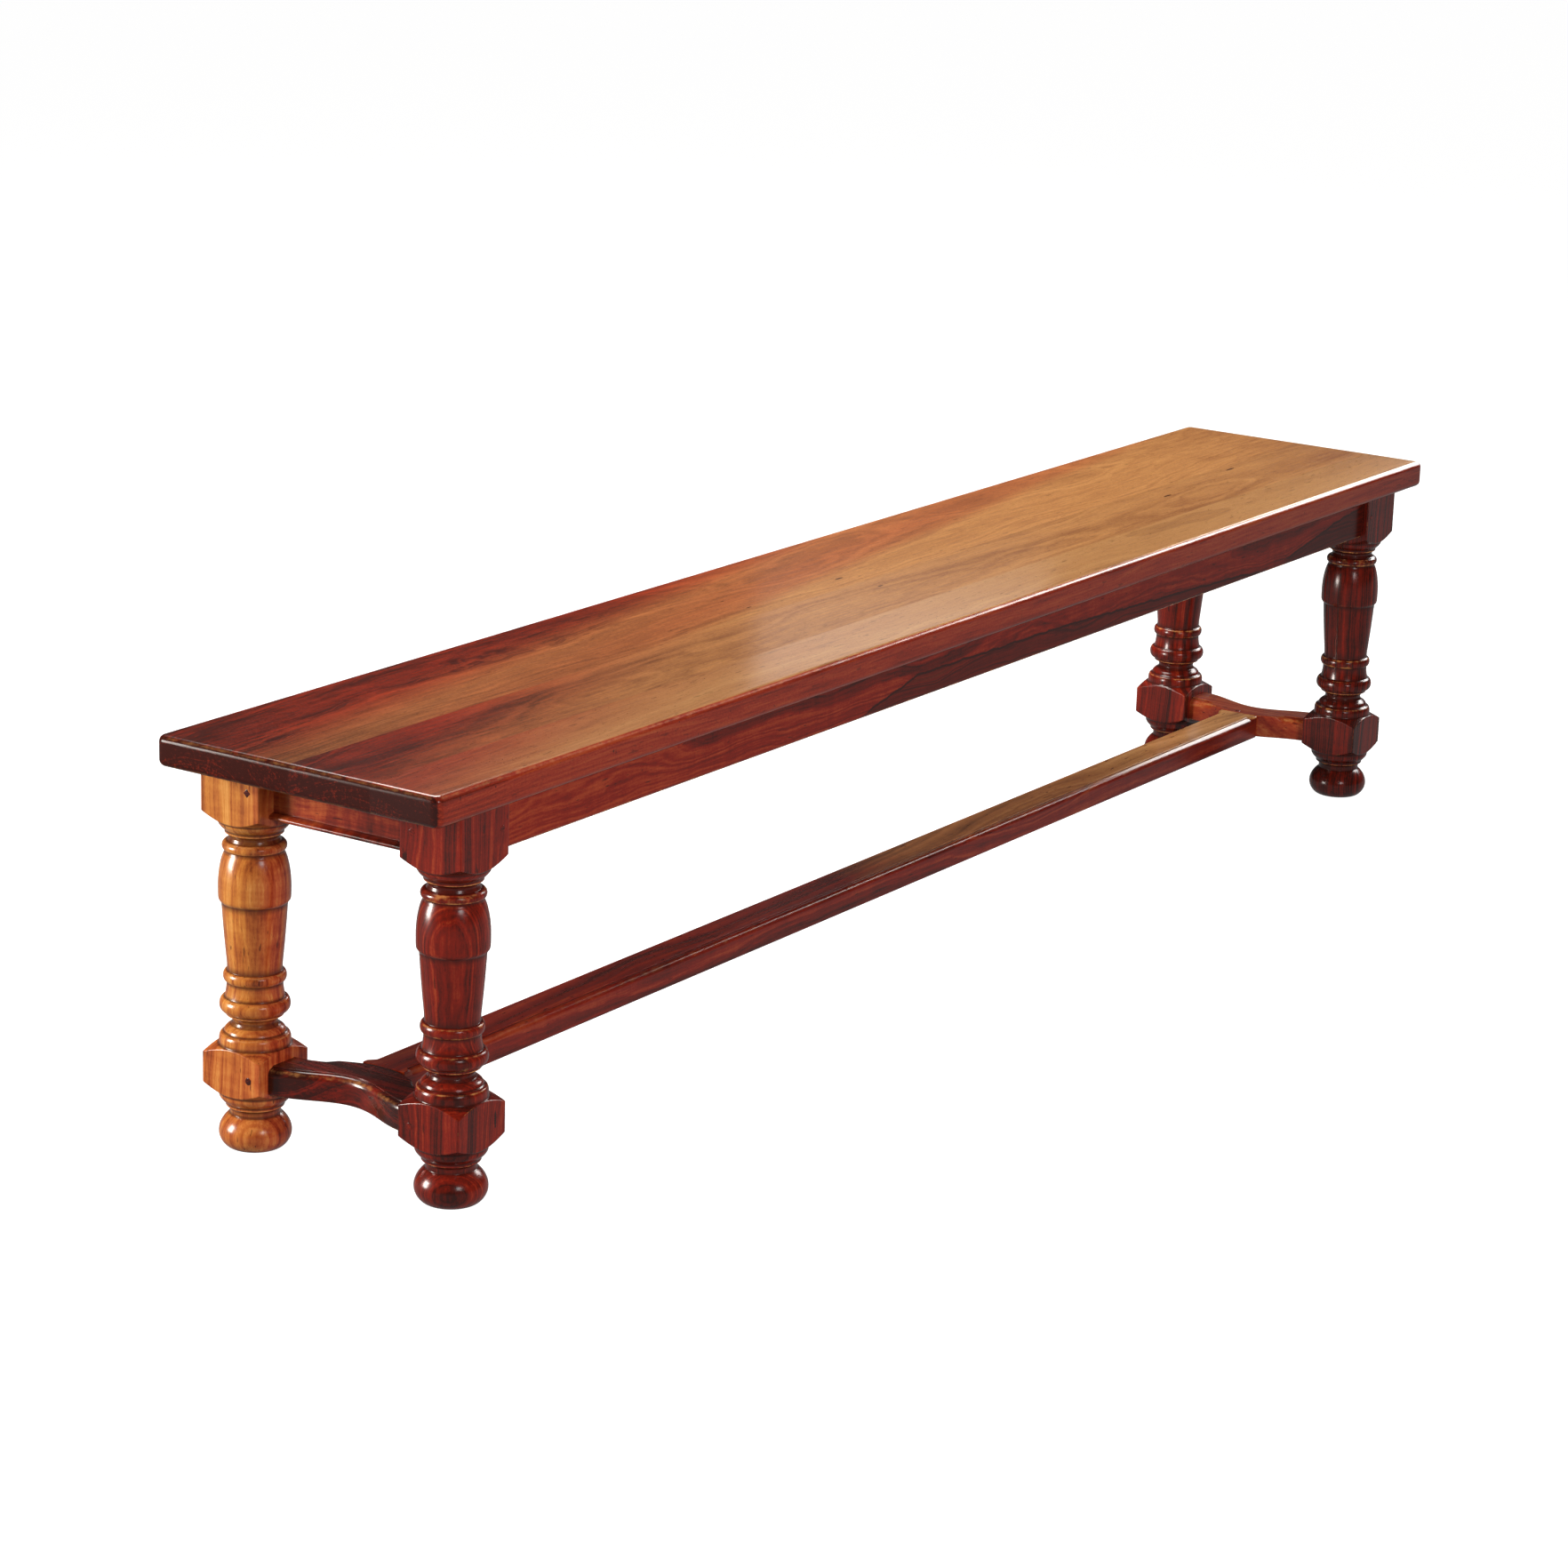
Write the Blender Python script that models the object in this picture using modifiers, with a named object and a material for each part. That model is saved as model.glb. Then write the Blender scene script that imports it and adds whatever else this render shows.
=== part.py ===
"""A long turned-leg bench of solid hardwood, built from its separate pieces.

Frame: metres, +Z up, origin on the floor under the middle of the seat.
X runs along the bench, Y from the front (negative) to the back.
Neighbouring pieces never touch: FIT is left between any two faces that meet.
"""
import math
from itertools import product

import bmesh
import bpy
from mathutils import Matrix, Vector

# Clearance between faces that meet, and how far a cutter runs past a face
FIT = 0.0003
OVERRUN = 0.002

# Points closer than this are one point, and flatter edges than this are shaded smooth
MERGE_DISTANCE = 0.00003
SMOOTH_DEGREES = 35

# Seat, glued up from three boards with tongues and grooves
SEAT_LENGTH = 2.120
SEAT_WIDTH = 0.360
SEAT_HEIGHT = 0.450
SEAT_THICKNESS = 0.033
SEAT_EDGE_RADIUS = 0.007
SEAT_CORNER_RADIUS = 0.010
SEAT_ROUND_SEGMENTS = 3
FRONT_BOARD_WIDTH = 0.084
MIDDLE_BOARD_WIDTH = 0.103
TONGUE_LENGTH = 0.008
TONGUE_THICKNESS = 0.011

# Legs, set in from the edges of the seat by its overhangs
END_OVERHANG = 0.053
SIDE_OVERHANG = 0.013
LEG_SQUARE = 0.077
LEG_ARRIS_RADIUS = 0.0015
LEG_ARRIS_SEGMENTS = 2
LEG_SIDES = 20

# Shares of a turned bead's height at which it is widest, and how full its curve is:
# the lower the power, the fuller the curve, and a half gives an ellipse
BEAD_WIDEST_SHARE = 0.50
BASE_TORUS_WIDEST_SHARE = 0.40
UPPER_BEAD_WIDEST_SHARE = 0.45
BEAD_POWER = 0.50
BUN_POWER = 0.75
VASE_POWER = 0.80

# Straight steps that stand for a curve on each side of its widest place
BEAD_STEPS = 2
BUN_STEPS = 3
VASE_RISE_STEPS = 1
VASE_FALL_STEPS = 3
HOLLOW_STEPS = 2
SMALL_HOLLOW_STEPS = 1

# Turned foot: bun, neck, fillet and ovolo under the lower block
FOOT_BASE_RADIUS = 0.0274
BUN_RADIUS = 0.0377
BUN_HEIGHT = 0.0365
BUN_WIDEST_SHARE = 0.45
FOOT_NECK_RADIUS = 0.0263
FOOT_NECK_HEIGHT = 0.0030
FOOT_COVE_HEIGHT = 0.0055
FOOT_FILLET_RADIUS = 0.0305
FOOT_FILLET_HEIGHT = 0.0030
FOOT_OVOLO_RADIUS = 0.0375
FOOT_OVOLO_HEIGHT = 0.0100
FOOT_COLLAR_HEIGHT = 0.0024

# Lower block, its corners turned away to a slope above and below
LOWER_BLOCK_HEIGHT = 0.0520
UNDER_SLOPE = 0.63
OVER_SLOPE = 0.54
BLOCK_CONE_RADIUS = 0.0376

# Turned members between the lower block and the shaft
BASE_TORUS_RADIUS = 0.0371
BASE_TORUS_HEIGHT = 0.0120
BASE_TORUS_TOP_RADIUS = 0.0335
BASE_FILLET_RADIUS = 0.0318
BASE_FILLET_HEIGHT = 0.0015
SHOULDER_TOP_RADIUS = 0.0250
SHOULDER_HEIGHT = 0.0070
LOWER_NECK_RADIUS = 0.0233
LOWER_NECK_HEIGHT = 0.0030
LOWER_COVE_HEIGHT = 0.0075
LOWER_FILLET_RADIUS = 0.0300
LOWER_FILLET_HEIGHT = 0.0030
BIG_TORUS_RADIUS = 0.0366
BIG_TORUS_HEIGHT = 0.0165
BIG_TORUS_TOP_RADIUS = 0.0312
SADDLE_RADIUS = 0.0290
SADDLE_HEIGHT = 0.0165
RING_RADIUS = 0.0327
RING_HEIGHT = 0.0120

# Vase over the tapered shaft, which takes what height is left
SHAFT_FOOT_RADIUS = 0.0285
SHAFT_TOP_RADIUS = 0.0340
LIP_HEIGHT = 0.0050
VASE_RADIUS = 0.0374
VASE_HEIGHT = 0.0480
VASE_WIDEST_SHARE = 0.25
VASE_TOP_RADIUS = 0.0310

# Turned members under the upper block
UPPER_FILLET_RADIUS = 0.0303
UPPER_FILLET_HEIGHT = 0.0030
UPPER_BEAD_RADIUS = 0.0333
UPPER_BEAD_HEIGHT = 0.0100
UPPER_BEAD_TOP_RADIUS = 0.0276
UPPER_NECK_RADIUS = 0.0262
UPPER_NECK_HEIGHT = 0.0035
UPPER_COVE_HEIGHT = 0.0050
UPPER_COLLAR_RADIUS = 0.0304
UPPER_COLLAR_HEIGHT = 0.0030
UPPER_OVOLO_RADIUS = 0.0375
UPPER_OVOLO_HEIGHT = 0.0100
UPPER_BLOCK_HEIGHT = 0.0655

# Aprons under the seat
APRON_THICKNESS = 0.025
SIDE_APRON_HEIGHT = 0.0525
END_APRON_HEIGHT = 0.0560
SIDE_APRON_SETBACK = 0.0085
END_APRON_SETBACK = 0.0235
APRON_EDGE_RADIUS = 0.004
APRON_EDGE_STEPS = 3
APRON_BEAD_PROJECTION = 0.0080
APRON_BEAD_HEIGHT = 0.0080
APRON_BEAD_STEPS = 6
BUTTON_GROOVE_HEIGHT = 0.0070
BUTTON_GROOVE_DEPTH = 0.0080
BUTTON_GROOVE_DROP = 0.0100

# Stretchers: two bowed ends and the long centre rail
STRETCHER_WIDTH = 0.050
STRETCHER_TOP = 0.099
STRETCHER_DEPTH = 0.030
STRETCHER_BOW = 0.026
STRETCHER_STATIONS = 12
RAIL_WIDTH = 0.0546
MOULD_RADIUS = 0.0075
MOULD_QUIRK = 0.0012
MOULD_STEPS = 4
MOULD_RUNOUT = 0.008
MOULD_STOP_AT_RAIL = 0.020
RAIL_MOULD_STOP = 0.006

# Mortise and tenon joints
APRON_TENON_THICKNESS = 0.010
APRON_TENON_HEIGHT = 0.034
APRON_TENON_LENGTH = 0.034
STRETCHER_TENON_THICKNESS = 0.016
STRETCHER_TENON_HEIGHT = 0.020
STRETCHER_TENON_LENGTH = 0.032
RAIL_TENON_WIDTH = 0.030
RAIL_TENON_THICKNESS = 0.012
RAIL_TENON_LENGTH = 0.030

# Draw pegs, each measured from the shoulder of the joint that it locks
END_PEG_WIDTH = 0.0068
END_PEG_OFFSET = 0.0154
SIDE_PEG_DIAMETER = 0.0070
SIDE_PEG_OFFSET = 0.0110
STRETCHER_PEG_DIAMETER = 0.0080
STRETCHER_PEG_OFFSET = 0.0150
RAIL_PEG_DIAMETER = 0.0070
RAIL_PEG_OFFSET = 0.0085
RAIL_PEG_ASIDE = 0.0068
PEG_BITE = 0.012
PEG_SIDES = 10
SQUARE_PEG_SIDES = 4

# Wooden buttons that hold the seat down, with one screw each
BUTTONS_PER_SIDE = 4
BUTTON_LENGTH = 0.030
BUTTON_WIDTH = 0.026
BUTTON_TONGUE_THICKNESS = 0.0058
BUTTON_TONGUE_LENGTH = 0.0070
BUTTON_HEIGHT = 0.0210
SCREW_SHANK_DIAMETER = 0.0040
SCREW_HEAD_DIAMETER = 0.0080
SCREW_HEAD_DEPTH = 0.0022
SCREW_GRIP = 0.018
SCREW_POINT = 0.004
SCREW_SIDES = 8

# Finishes as linear colours, with roughness and metallic values
SEAT_COLOUR = (0.32, 0.085, 0.025)
LEG_COLOUR = (0.30, 0.070, 0.022)
APRON_COLOUR = (0.26, 0.055, 0.020)
STRETCHER_COLOUR = (0.22, 0.050, 0.018)
PEG_COLOUR = (0.07, 0.025, 0.012)
BUTTON_COLOUR = (0.45, 0.27, 0.13)
STEEL_COLOUR = (0.55, 0.54, 0.52)
VARNISH_ROUGHNESS = 0.28
BARE_ROUGHNESS = 0.60
STEEL_ROUGHNESS = 0.35

# Names of the two rows and the two ends, by their side of the middle
ROWS = {-1: "front", 1: "back"}
ENDS = {-1: "left", 1: "right"}

# Places worked out from the sizes above
SEAT_UNDERSIDE = SEAT_HEIGHT - SEAT_THICKNESS
FRAME_TOP = SEAT_UNDERSIDE - FIT
LEG_FACE_X = SEAT_LENGTH / 2 - END_OVERHANG
LEG_FACE_Y = SEAT_WIDTH / 2 - SIDE_OVERHANG
LEG_X = LEG_FACE_X - LEG_SQUARE / 2
LEG_Y = LEG_FACE_Y - LEG_SQUARE / 2
SHOULDER_X = LEG_FACE_X - LEG_SQUARE
SHOULDER_Y = LEG_FACE_Y - LEG_SQUARE
SIDE_APRON_FACE = LEG_FACE_Y - SIDE_APRON_SETBACK
END_APRON_FACE = LEG_FACE_X - END_APRON_SETBACK
APRON_TENON_TOP = FRAME_TOP - (SIDE_APRON_HEIGHT - APRON_TENON_HEIGHT) / 2
STRETCHER_MIDDLE_Z = STRETCHER_TOP - STRETCHER_DEPTH / 2
BUTTON_TOP = FRAME_TOP
BUTTON_BOTTOM = BUTTON_TOP - BUTTON_HEIGHT
GROOVE_TOP = FRAME_TOP - BUTTON_GROOVE_DROP
GROOVE_BOTTOM = GROOVE_TOP - BUTTON_GROOVE_HEIGHT
FRONT_JOINT_Y = -SEAT_WIDTH / 2 + FRONT_BOARD_WIDTH
BACK_JOINT_Y = FRONT_JOINT_Y + MIDDLE_BOARD_WIDTH


def clear_scene():
    """Remove whatever the scene holds."""
    for item in list(bpy.data.objects):
        bpy.data.objects.remove(item, do_unlink=True)


def new_collection(name):
    """Link a new collection to the scene."""
    made = bpy.data.collections.new(name)
    bpy.context.scene.collection.children.link(made)
    return made


def finish(name, colour, roughness, metallic=0.0):
    """Make a plain material from a colour, a roughness and a metallic value."""
    made = bpy.data.materials.new(name)
    made.use_nodes = True
    shader = made.node_tree.nodes["Principled BSDF"]
    shader.inputs["Base Color"].default_value = (*colour, 1.0)
    shader.inputs["Roughness"].default_value = roughness
    shader.inputs["Metallic"].default_value = metallic
    made.diffuse_color = (*colour, 1.0)
    return made


class Workshop:
    """Keeps the finished pieces and the cutters in their two collections."""

    def __init__(self):
        self.parts = new_collection("turned_leg_bench")
        self.cutters = new_collection("cutters")

    def add(self, name, bm, collection):
        """Turn a bmesh into an object in a collection."""
        mesh = bpy.data.meshes.new(name)
        bmesh.ops.recalc_face_normals(bm, faces=bm.faces)
        bm.to_mesh(mesh)
        bm.free()
        made = bpy.data.objects.new(name, mesh)
        collection.objects.link(made)
        return made

    def piece(self, name, bm, colour, roughness=VARNISH_ROUGHNESS, metallic=0.0):
        """Add a piece of the bench with a finish of its own."""
        made = self.add(name, bm, self.parts)
        made.data.materials.append(finish(name, colour, roughness, metallic))
        return made

    def cutter(self, name, bm):
        """Add a helper shape that only takes part in Booleans."""
        made = self.add(name, bm, self.cutters)
        made.hide_render = True
        made.display_type = "WIRE"
        return made


def boolean(target, other, operation):
    """Combine a piece with a helper shape."""
    step = target.modifiers.new(other.name, "BOOLEAN")
    step.operation = operation
    step.solver = "EXACT"
    step.object = other


def ordered(first, second):
    """Return two ends of a span, the lower one first."""
    return (first, second) if first < second else (second, first)


def box(x_span, y_span, z_span):
    """Make a block that fills three spans."""
    bm = bmesh.new()
    bmesh.ops.create_cube(bm, size=1.0)
    spans = [ordered(*span) for span in (x_span, y_span, z_span)]
    sizes = [high - low for low, high in spans]
    middle = Vector([(high + low) / 2 for low, high in spans])
    bmesh.ops.scale(bm, vec=sizes, verts=bm.verts)
    bmesh.ops.translate(bm, vec=middle, verts=bm.verts)
    return bm


def grown(span, amount):
    """Widen a span at both ends."""
    low, high = ordered(*span)
    return (low - amount, high + amount)


def rod(radius, start, end, sides, turn=0.0):
    """Make a straight rod between two points, its sides turned about its axis."""
    start, end = Vector(start), Vector(end)
    axis = end - start
    spin = axis.to_track_quat("Z", "Y").to_matrix().to_4x4()
    place = Matrix.Translation((start + end) / 2) @ spin @ Matrix.Rotation(turn, 4, "Z")
    bm = bmesh.new()
    bmesh.ops.create_cone(bm, cap_ends=True, segments=sides, radius1=radius,
                          radius2=radius, depth=axis.length, matrix=place)
    return bm


def loft(stations, section_at, along="Y"):
    """Skin a bar through its outlines at the stations, and close both ends.

    section_at(station) lists (across, z) points, always as many of them.
    """
    bm = bmesh.new()
    rings = []
    for station in stations:
        if along == "Y":
            points = [(across, station, z) for across, z in section_at(station)]
        else:
            points = [(station, across, z) for across, z in section_at(station)]
        rings.append([bm.verts.new(point) for point in points])
    for near, far in zip(rings, rings[1:]):
        for i, corner in enumerate(near):
            bm.faces.new((near[i - 1], corner, far[i], far[i - 1]))
    bm.faces.new(rings[0])
    bm.faces.new(rings[-1])
    bmesh.ops.remove_doubles(bm, verts=bm.verts, dist=MERGE_DISTANCE)
    bmesh.ops.dissolve_degenerate(bm, edges=bm.edges, dist=MERGE_DISTANCE)
    return bm


def smooth(target):
    """Shade round stretches smooth and keep the arrises sharp."""
    target.data.shade_smooth()
    target.data.set_sharp_from_angle(angle=math.radians(SMOOTH_DEGREES))


class Turning:
    """Half outline of a spindle, drawn upwards from the floor as (radius, z)."""

    def __init__(self, radius):
        self.points = [(0.0, 0.0), (radius, 0.0)]

    @property
    def radius(self):
        """Radius of the last point."""
        return self.points[-1][0]

    @property
    def z(self):
        """Height of the last point."""
        return self.points[-1][1]

    def line(self, height, radius):
        """Run straight up to a radius."""
        self.points.append((radius, self.z + height))

    def curve(self, height, radius, shape, steps):
        """Run up to a radius along shape(share), which goes from 0 to 1."""
        start_radius, start_z = self.radius, self.z
        for step in range(1, steps + 1):
            share = step / steps
            reach = start_radius + (radius - start_radius) * shape(share)
            self.points.append((reach, start_z + height * share))

    def cove(self, height, radius, steps=HOLLOW_STEPS):
        """Hollow curve that opens out towards the top."""
        self.curve(height, radius, lambda t: 1 - math.cos(t * math.pi / 2), steps)

    def ovolo(self, height, radius, steps=HOLLOW_STEPS):
        """Round curve that steepens towards the top."""
        self.curve(height, radius, lambda t: math.sin(t * math.pi / 2), steps)

    def bulge(self, height, widest, top, share, rise=BEAD_STEPS, fall=BEAD_STEPS,
              power=BEAD_POWER):
        """Swell out to a widest radius at a share of the height, and back in."""
        start_radius, start_z = self.radius, self.z
        crest = height * share
        for step in range(1, rise + 1):
            u = 1 - math.sin(step / rise * math.pi / 2)
            reach = start_radius + (widest - start_radius) * (1 - u * u) ** power
            self.points.append((reach, start_z + crest * (1 - u)))
        for step in range(1, fall + 1):
            u = 1 - math.cos(step / fall * math.pi / 2)
            reach = top + (widest - top) * max(0.0, 1 - u * u) ** power
            self.points.append((reach, start_z + crest + (height - crest) * u))


def leg_outline():
    """Half outline of a leg: foot, lower block, spindle and upper block."""
    corner = LEG_SQUARE / math.sqrt(2) + OVERRUN
    over = corner - BLOCK_CONE_RADIUS

    leg = Turning(FOOT_BASE_RADIUS)
    leg.bulge(BUN_HEIGHT, BUN_RADIUS, FOOT_NECK_RADIUS, BUN_WIDEST_SHARE,
              BUN_STEPS, BUN_STEPS, BUN_POWER)
    leg.line(FOOT_NECK_HEIGHT, FOOT_NECK_RADIUS)
    leg.cove(FOOT_COVE_HEIGHT, FOOT_FILLET_RADIUS, SMALL_HOLLOW_STEPS)
    leg.line(FOOT_FILLET_HEIGHT, FOOT_FILLET_RADIUS)
    leg.ovolo(FOOT_OVOLO_HEIGHT, FOOT_OVOLO_RADIUS)
    leg.line(FOOT_COLLAR_HEIGHT, BLOCK_CONE_RADIUS)

    leg.line(over * UNDER_SLOPE, corner)
    leg.line(LOWER_BLOCK_HEIGHT - over * (UNDER_SLOPE + OVER_SLOPE), corner)
    leg.line(over * OVER_SLOPE, BLOCK_CONE_RADIUS)

    leg.bulge(BASE_TORUS_HEIGHT, BASE_TORUS_RADIUS, BASE_TORUS_TOP_RADIUS,
              BASE_TORUS_WIDEST_SHARE)
    leg.line(BASE_FILLET_HEIGHT, BASE_FILLET_RADIUS)
    leg.curve(SHOULDER_HEIGHT, SHOULDER_TOP_RADIUS, lambda t: t * t, HOLLOW_STEPS)
    leg.line(LOWER_NECK_HEIGHT, LOWER_NECK_RADIUS)
    leg.cove(LOWER_COVE_HEIGHT, LOWER_FILLET_RADIUS)
    leg.line(LOWER_FILLET_HEIGHT, LOWER_FILLET_RADIUS)
    leg.bulge(BIG_TORUS_HEIGHT, BIG_TORUS_RADIUS, BIG_TORUS_TOP_RADIUS, BEAD_WIDEST_SHARE)
    leg.line(SADDLE_HEIGHT, SADDLE_RADIUS)
    leg.bulge(RING_HEIGHT, RING_RADIUS, SHAFT_FOOT_RADIUS, BEAD_WIDEST_SHARE)

    vase_height = LIP_HEIGHT + VASE_HEIGHT
    collar_height = (UPPER_FILLET_HEIGHT + UPPER_BEAD_HEIGHT + UPPER_NECK_HEIGHT
                     + UPPER_COVE_HEIGHT + UPPER_COLLAR_HEIGHT + UPPER_OVOLO_HEIGHT)
    shaft_height = FRAME_TOP - leg.z - vase_height - collar_height - UPPER_BLOCK_HEIGHT
    leg.line(shaft_height, SHAFT_TOP_RADIUS)
    leg.ovolo(LIP_HEIGHT, VASE_RADIUS - FIT)
    leg.bulge(VASE_HEIGHT, VASE_RADIUS, VASE_TOP_RADIUS, VASE_WIDEST_SHARE,
              VASE_RISE_STEPS, VASE_FALL_STEPS, VASE_POWER)
    leg.line(UPPER_FILLET_HEIGHT, UPPER_FILLET_RADIUS)
    leg.bulge(UPPER_BEAD_HEIGHT, UPPER_BEAD_RADIUS, UPPER_BEAD_TOP_RADIUS,
              UPPER_BEAD_WIDEST_SHARE)
    leg.line(UPPER_NECK_HEIGHT, UPPER_NECK_RADIUS)
    leg.cove(UPPER_COVE_HEIGHT, UPPER_COLLAR_RADIUS, SMALL_HOLLOW_STEPS)
    leg.line(UPPER_COLLAR_HEIGHT, UPPER_COLLAR_RADIUS)
    leg.ovolo(UPPER_OVOLO_HEIGHT, UPPER_OVOLO_RADIUS)
    leg.line(0.0, BLOCK_CONE_RADIUS)
    leg.line(over * UNDER_SLOPE, corner)
    leg.points += [(corner, FRAME_TOP), (0.0, FRAME_TOP)]
    return leg.points


def turned(name, workshop, outline, sides, colour, roughness=VARNISH_ROUGHNESS, metallic=0.0):
    """Revolve an outline, given from the floor up, with a Screw modifier."""
    mesh = bpy.data.meshes.new(name)
    drawn = [(radius, 0.0, z) for radius, z in reversed(outline)]
    mesh.from_pydata(drawn, [(i, i + 1) for i in range(len(drawn) - 1)], [])
    made = bpy.data.objects.new(name, mesh)
    workshop.parts.objects.link(made)
    mesh.materials.append(finish(name, colour, roughness, metallic))
    screw = made.modifiers.new("turning", "SCREW")
    screw.angle = 2 * math.pi
    screw.steps = sides
    screw.render_steps = sides
    screw.use_merge_vertices = True
    screw.merge_threshold = MERGE_DISTANCE
    screw.use_smooth_shade = True
    return made


def peg_holes():
    """List the leg's pegs for a leg in the +X, +Y quarter: (radius, sides, turn, ends).

    The ends are the outer end, flush with the leg's face, and the inner end.
    """
    end_reach = END_APRON_FACE - APRON_THICKNESS / 2 - APRON_TENON_THICKNESS / 2 - PEG_BITE
    side_reach = SIDE_APRON_FACE - APRON_THICKNESS / 2 - APRON_TENON_THICKNESS / 2 - PEG_BITE
    low_reach = LEG_X - STRETCHER_TENON_THICKNESS / 2 - PEG_BITE
    tenon_middle = APRON_TENON_TOP - APRON_TENON_HEIGHT / 2
    end_y = SHOULDER_Y + END_PEG_OFFSET
    side_x = SHOULDER_X + SIDE_PEG_OFFSET
    low_y = SHOULDER_Y + STRETCHER_PEG_OFFSET
    return {
        "end_apron": (END_PEG_WIDTH / math.sqrt(2), SQUARE_PEG_SIDES, 0.0,
                      (LEG_FACE_X, end_y, tenon_middle), (end_reach, end_y, tenon_middle)),
        "side_apron": (SIDE_PEG_DIAMETER / 2, PEG_SIDES, 0.0,
                       (side_x, LEG_FACE_Y, tenon_middle), (side_x, side_reach, tenon_middle)),
        "stretcher": (STRETCHER_PEG_DIAMETER / 2, PEG_SIDES, 0.0,
                      (LEG_FACE_X, low_y, STRETCHER_MIDDLE_Z),
                      (low_reach, low_y, STRETCHER_MIDDLE_Z)),
    }


def to_quarter(point, side_x, side_y):
    """Move a point of the +X, +Y quarter to another quarter."""
    x, y, z = point
    return (side_x * x, side_y * y, z)


def peg_cutter(workshop, name, peg, side_x, side_y):
    """Make the hole for a peg, wider and deeper by the clearance."""
    radius, sides, turn, outer, inner = peg
    outer, inner = Vector(outer), Vector(inner)
    way = (outer - inner).normalized()
    spare = FIT / math.cos(math.pi / sides)
    start = to_quarter(outer + way * OVERRUN, side_x, side_y)
    end = to_quarter(inner - way * FIT, side_x, side_y)
    return workshop.cutter(name, rod(radius + spare, start, end, sides, turn))


def side_tenon_spans(side_x, side_y):
    """Spans of a long apron's tenon in a leg."""
    middle = SIDE_APRON_FACE - APRON_THICKNESS / 2
    half = APRON_TENON_THICKNESS / 2
    return ((side_x * SHOULDER_X, side_x * (SHOULDER_X + APRON_TENON_LENGTH)),
            (side_y * (middle - half), side_y * (middle + half)),
            (APRON_TENON_TOP - APRON_TENON_HEIGHT, APRON_TENON_TOP))


def end_tenon_spans(side_x, side_y):
    """Spans of a short apron's tenon in a leg."""
    middle = END_APRON_FACE - APRON_THICKNESS / 2
    half = APRON_TENON_THICKNESS / 2
    return ((side_x * (middle - half), side_x * (middle + half)),
            (side_y * SHOULDER_Y, side_y * (SHOULDER_Y + APRON_TENON_LENGTH)),
            (APRON_TENON_TOP - APRON_TENON_HEIGHT, APRON_TENON_TOP))


def stretcher_tenon_spans(side_x, side_y):
    """Spans of an end stretcher's tenon in a leg."""
    half = STRETCHER_TENON_THICKNESS / 2
    rise = STRETCHER_TENON_HEIGHT / 2
    return ((side_x * (LEG_X - half), side_x * (LEG_X + half)),
            (side_y * SHOULDER_Y, side_y * (SHOULDER_Y + STRETCHER_TENON_LENGTH)),
            (STRETCHER_MIDDLE_Z - rise, STRETCHER_MIDDLE_Z + rise))


def rail_tenon_spans(side_x):
    """Spans of the centre rail's tenon in an end stretcher."""
    shoulder = LEG_X - STRETCHER_WIDTH / 2 - STRETCHER_BOW
    rise = RAIL_TENON_THICKNESS / 2
    return ((side_x * shoulder, side_x * (shoulder + RAIL_TENON_LENGTH)),
            (-RAIL_TENON_WIDTH / 2, RAIL_TENON_WIDTH / 2),
            (STRETCHER_MIDDLE_Z - rise, STRETCHER_MIDDLE_Z + rise))


def opened(spans, axis, sign):
    """Turn a tenon's spans into its mortise, open at the shoulder."""
    sizes = [grown(span, FIT) for span in spans]
    low, high = sizes[axis]
    sizes[axis] = (low - OVERRUN, high) if sign > 0 else (low, high + OVERRUN)
    return sizes


def rooted(spans, axis, sign):
    """Lengthen a tenon's spans back into its own bar, so that they join."""
    sizes = [ordered(*span) for span in spans]
    low, high = sizes[axis]
    sizes[axis] = (low - OVERRUN, high) if sign > 0 else (low, high + OVERRUN)
    return sizes


def build_leg(workshop, name, side_x, side_y):
    """Turn a leg, square its blocks, and cut its mortises and peg holes."""
    leg = turned(name, workshop, leg_outline(), LEG_SIDES, LEG_COLOUR)
    leg.location = (side_x * LEG_X, side_y * LEG_Y, 0.0)

    blank = box((side_x * SHOULDER_X, side_x * LEG_FACE_X),
                (side_y * SHOULDER_Y, side_y * LEG_FACE_Y),
                (-OVERRUN, FRAME_TOP + OVERRUN))
    upright = [e for e in blank.edges if abs(e.verts[0].co.z - e.verts[1].co.z) > LEG_SQUARE]
    bmesh.ops.bevel(blank, geom=upright, offset=LEG_ARRIS_RADIUS,
                    segments=LEG_ARRIS_SEGMENTS, affect="EDGES", profile=0.5, material=-1)
    boolean(leg, workshop.cutter(name + "_square", blank), "INTERSECT")

    cuts = {
        "side_mortise": opened(side_tenon_spans(side_x, side_y), 0, side_x),
        "end_mortise": opened(end_tenon_spans(side_x, side_y), 1, side_y),
        "stretcher_mortise": opened(stretcher_tenon_spans(side_x, side_y), 1, side_y),
    }
    for label, spans in cuts.items():
        boolean(leg, workshop.cutter(f"{name}_{label}", box(*spans)), "DIFFERENCE")
    for label, peg in peg_holes().items():
        hole = peg_cutter(workshop, f"{name}_{label}_peg_hole", peg, side_x, side_y)
        boolean(leg, hole, "DIFFERENCE")
    return leg


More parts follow.
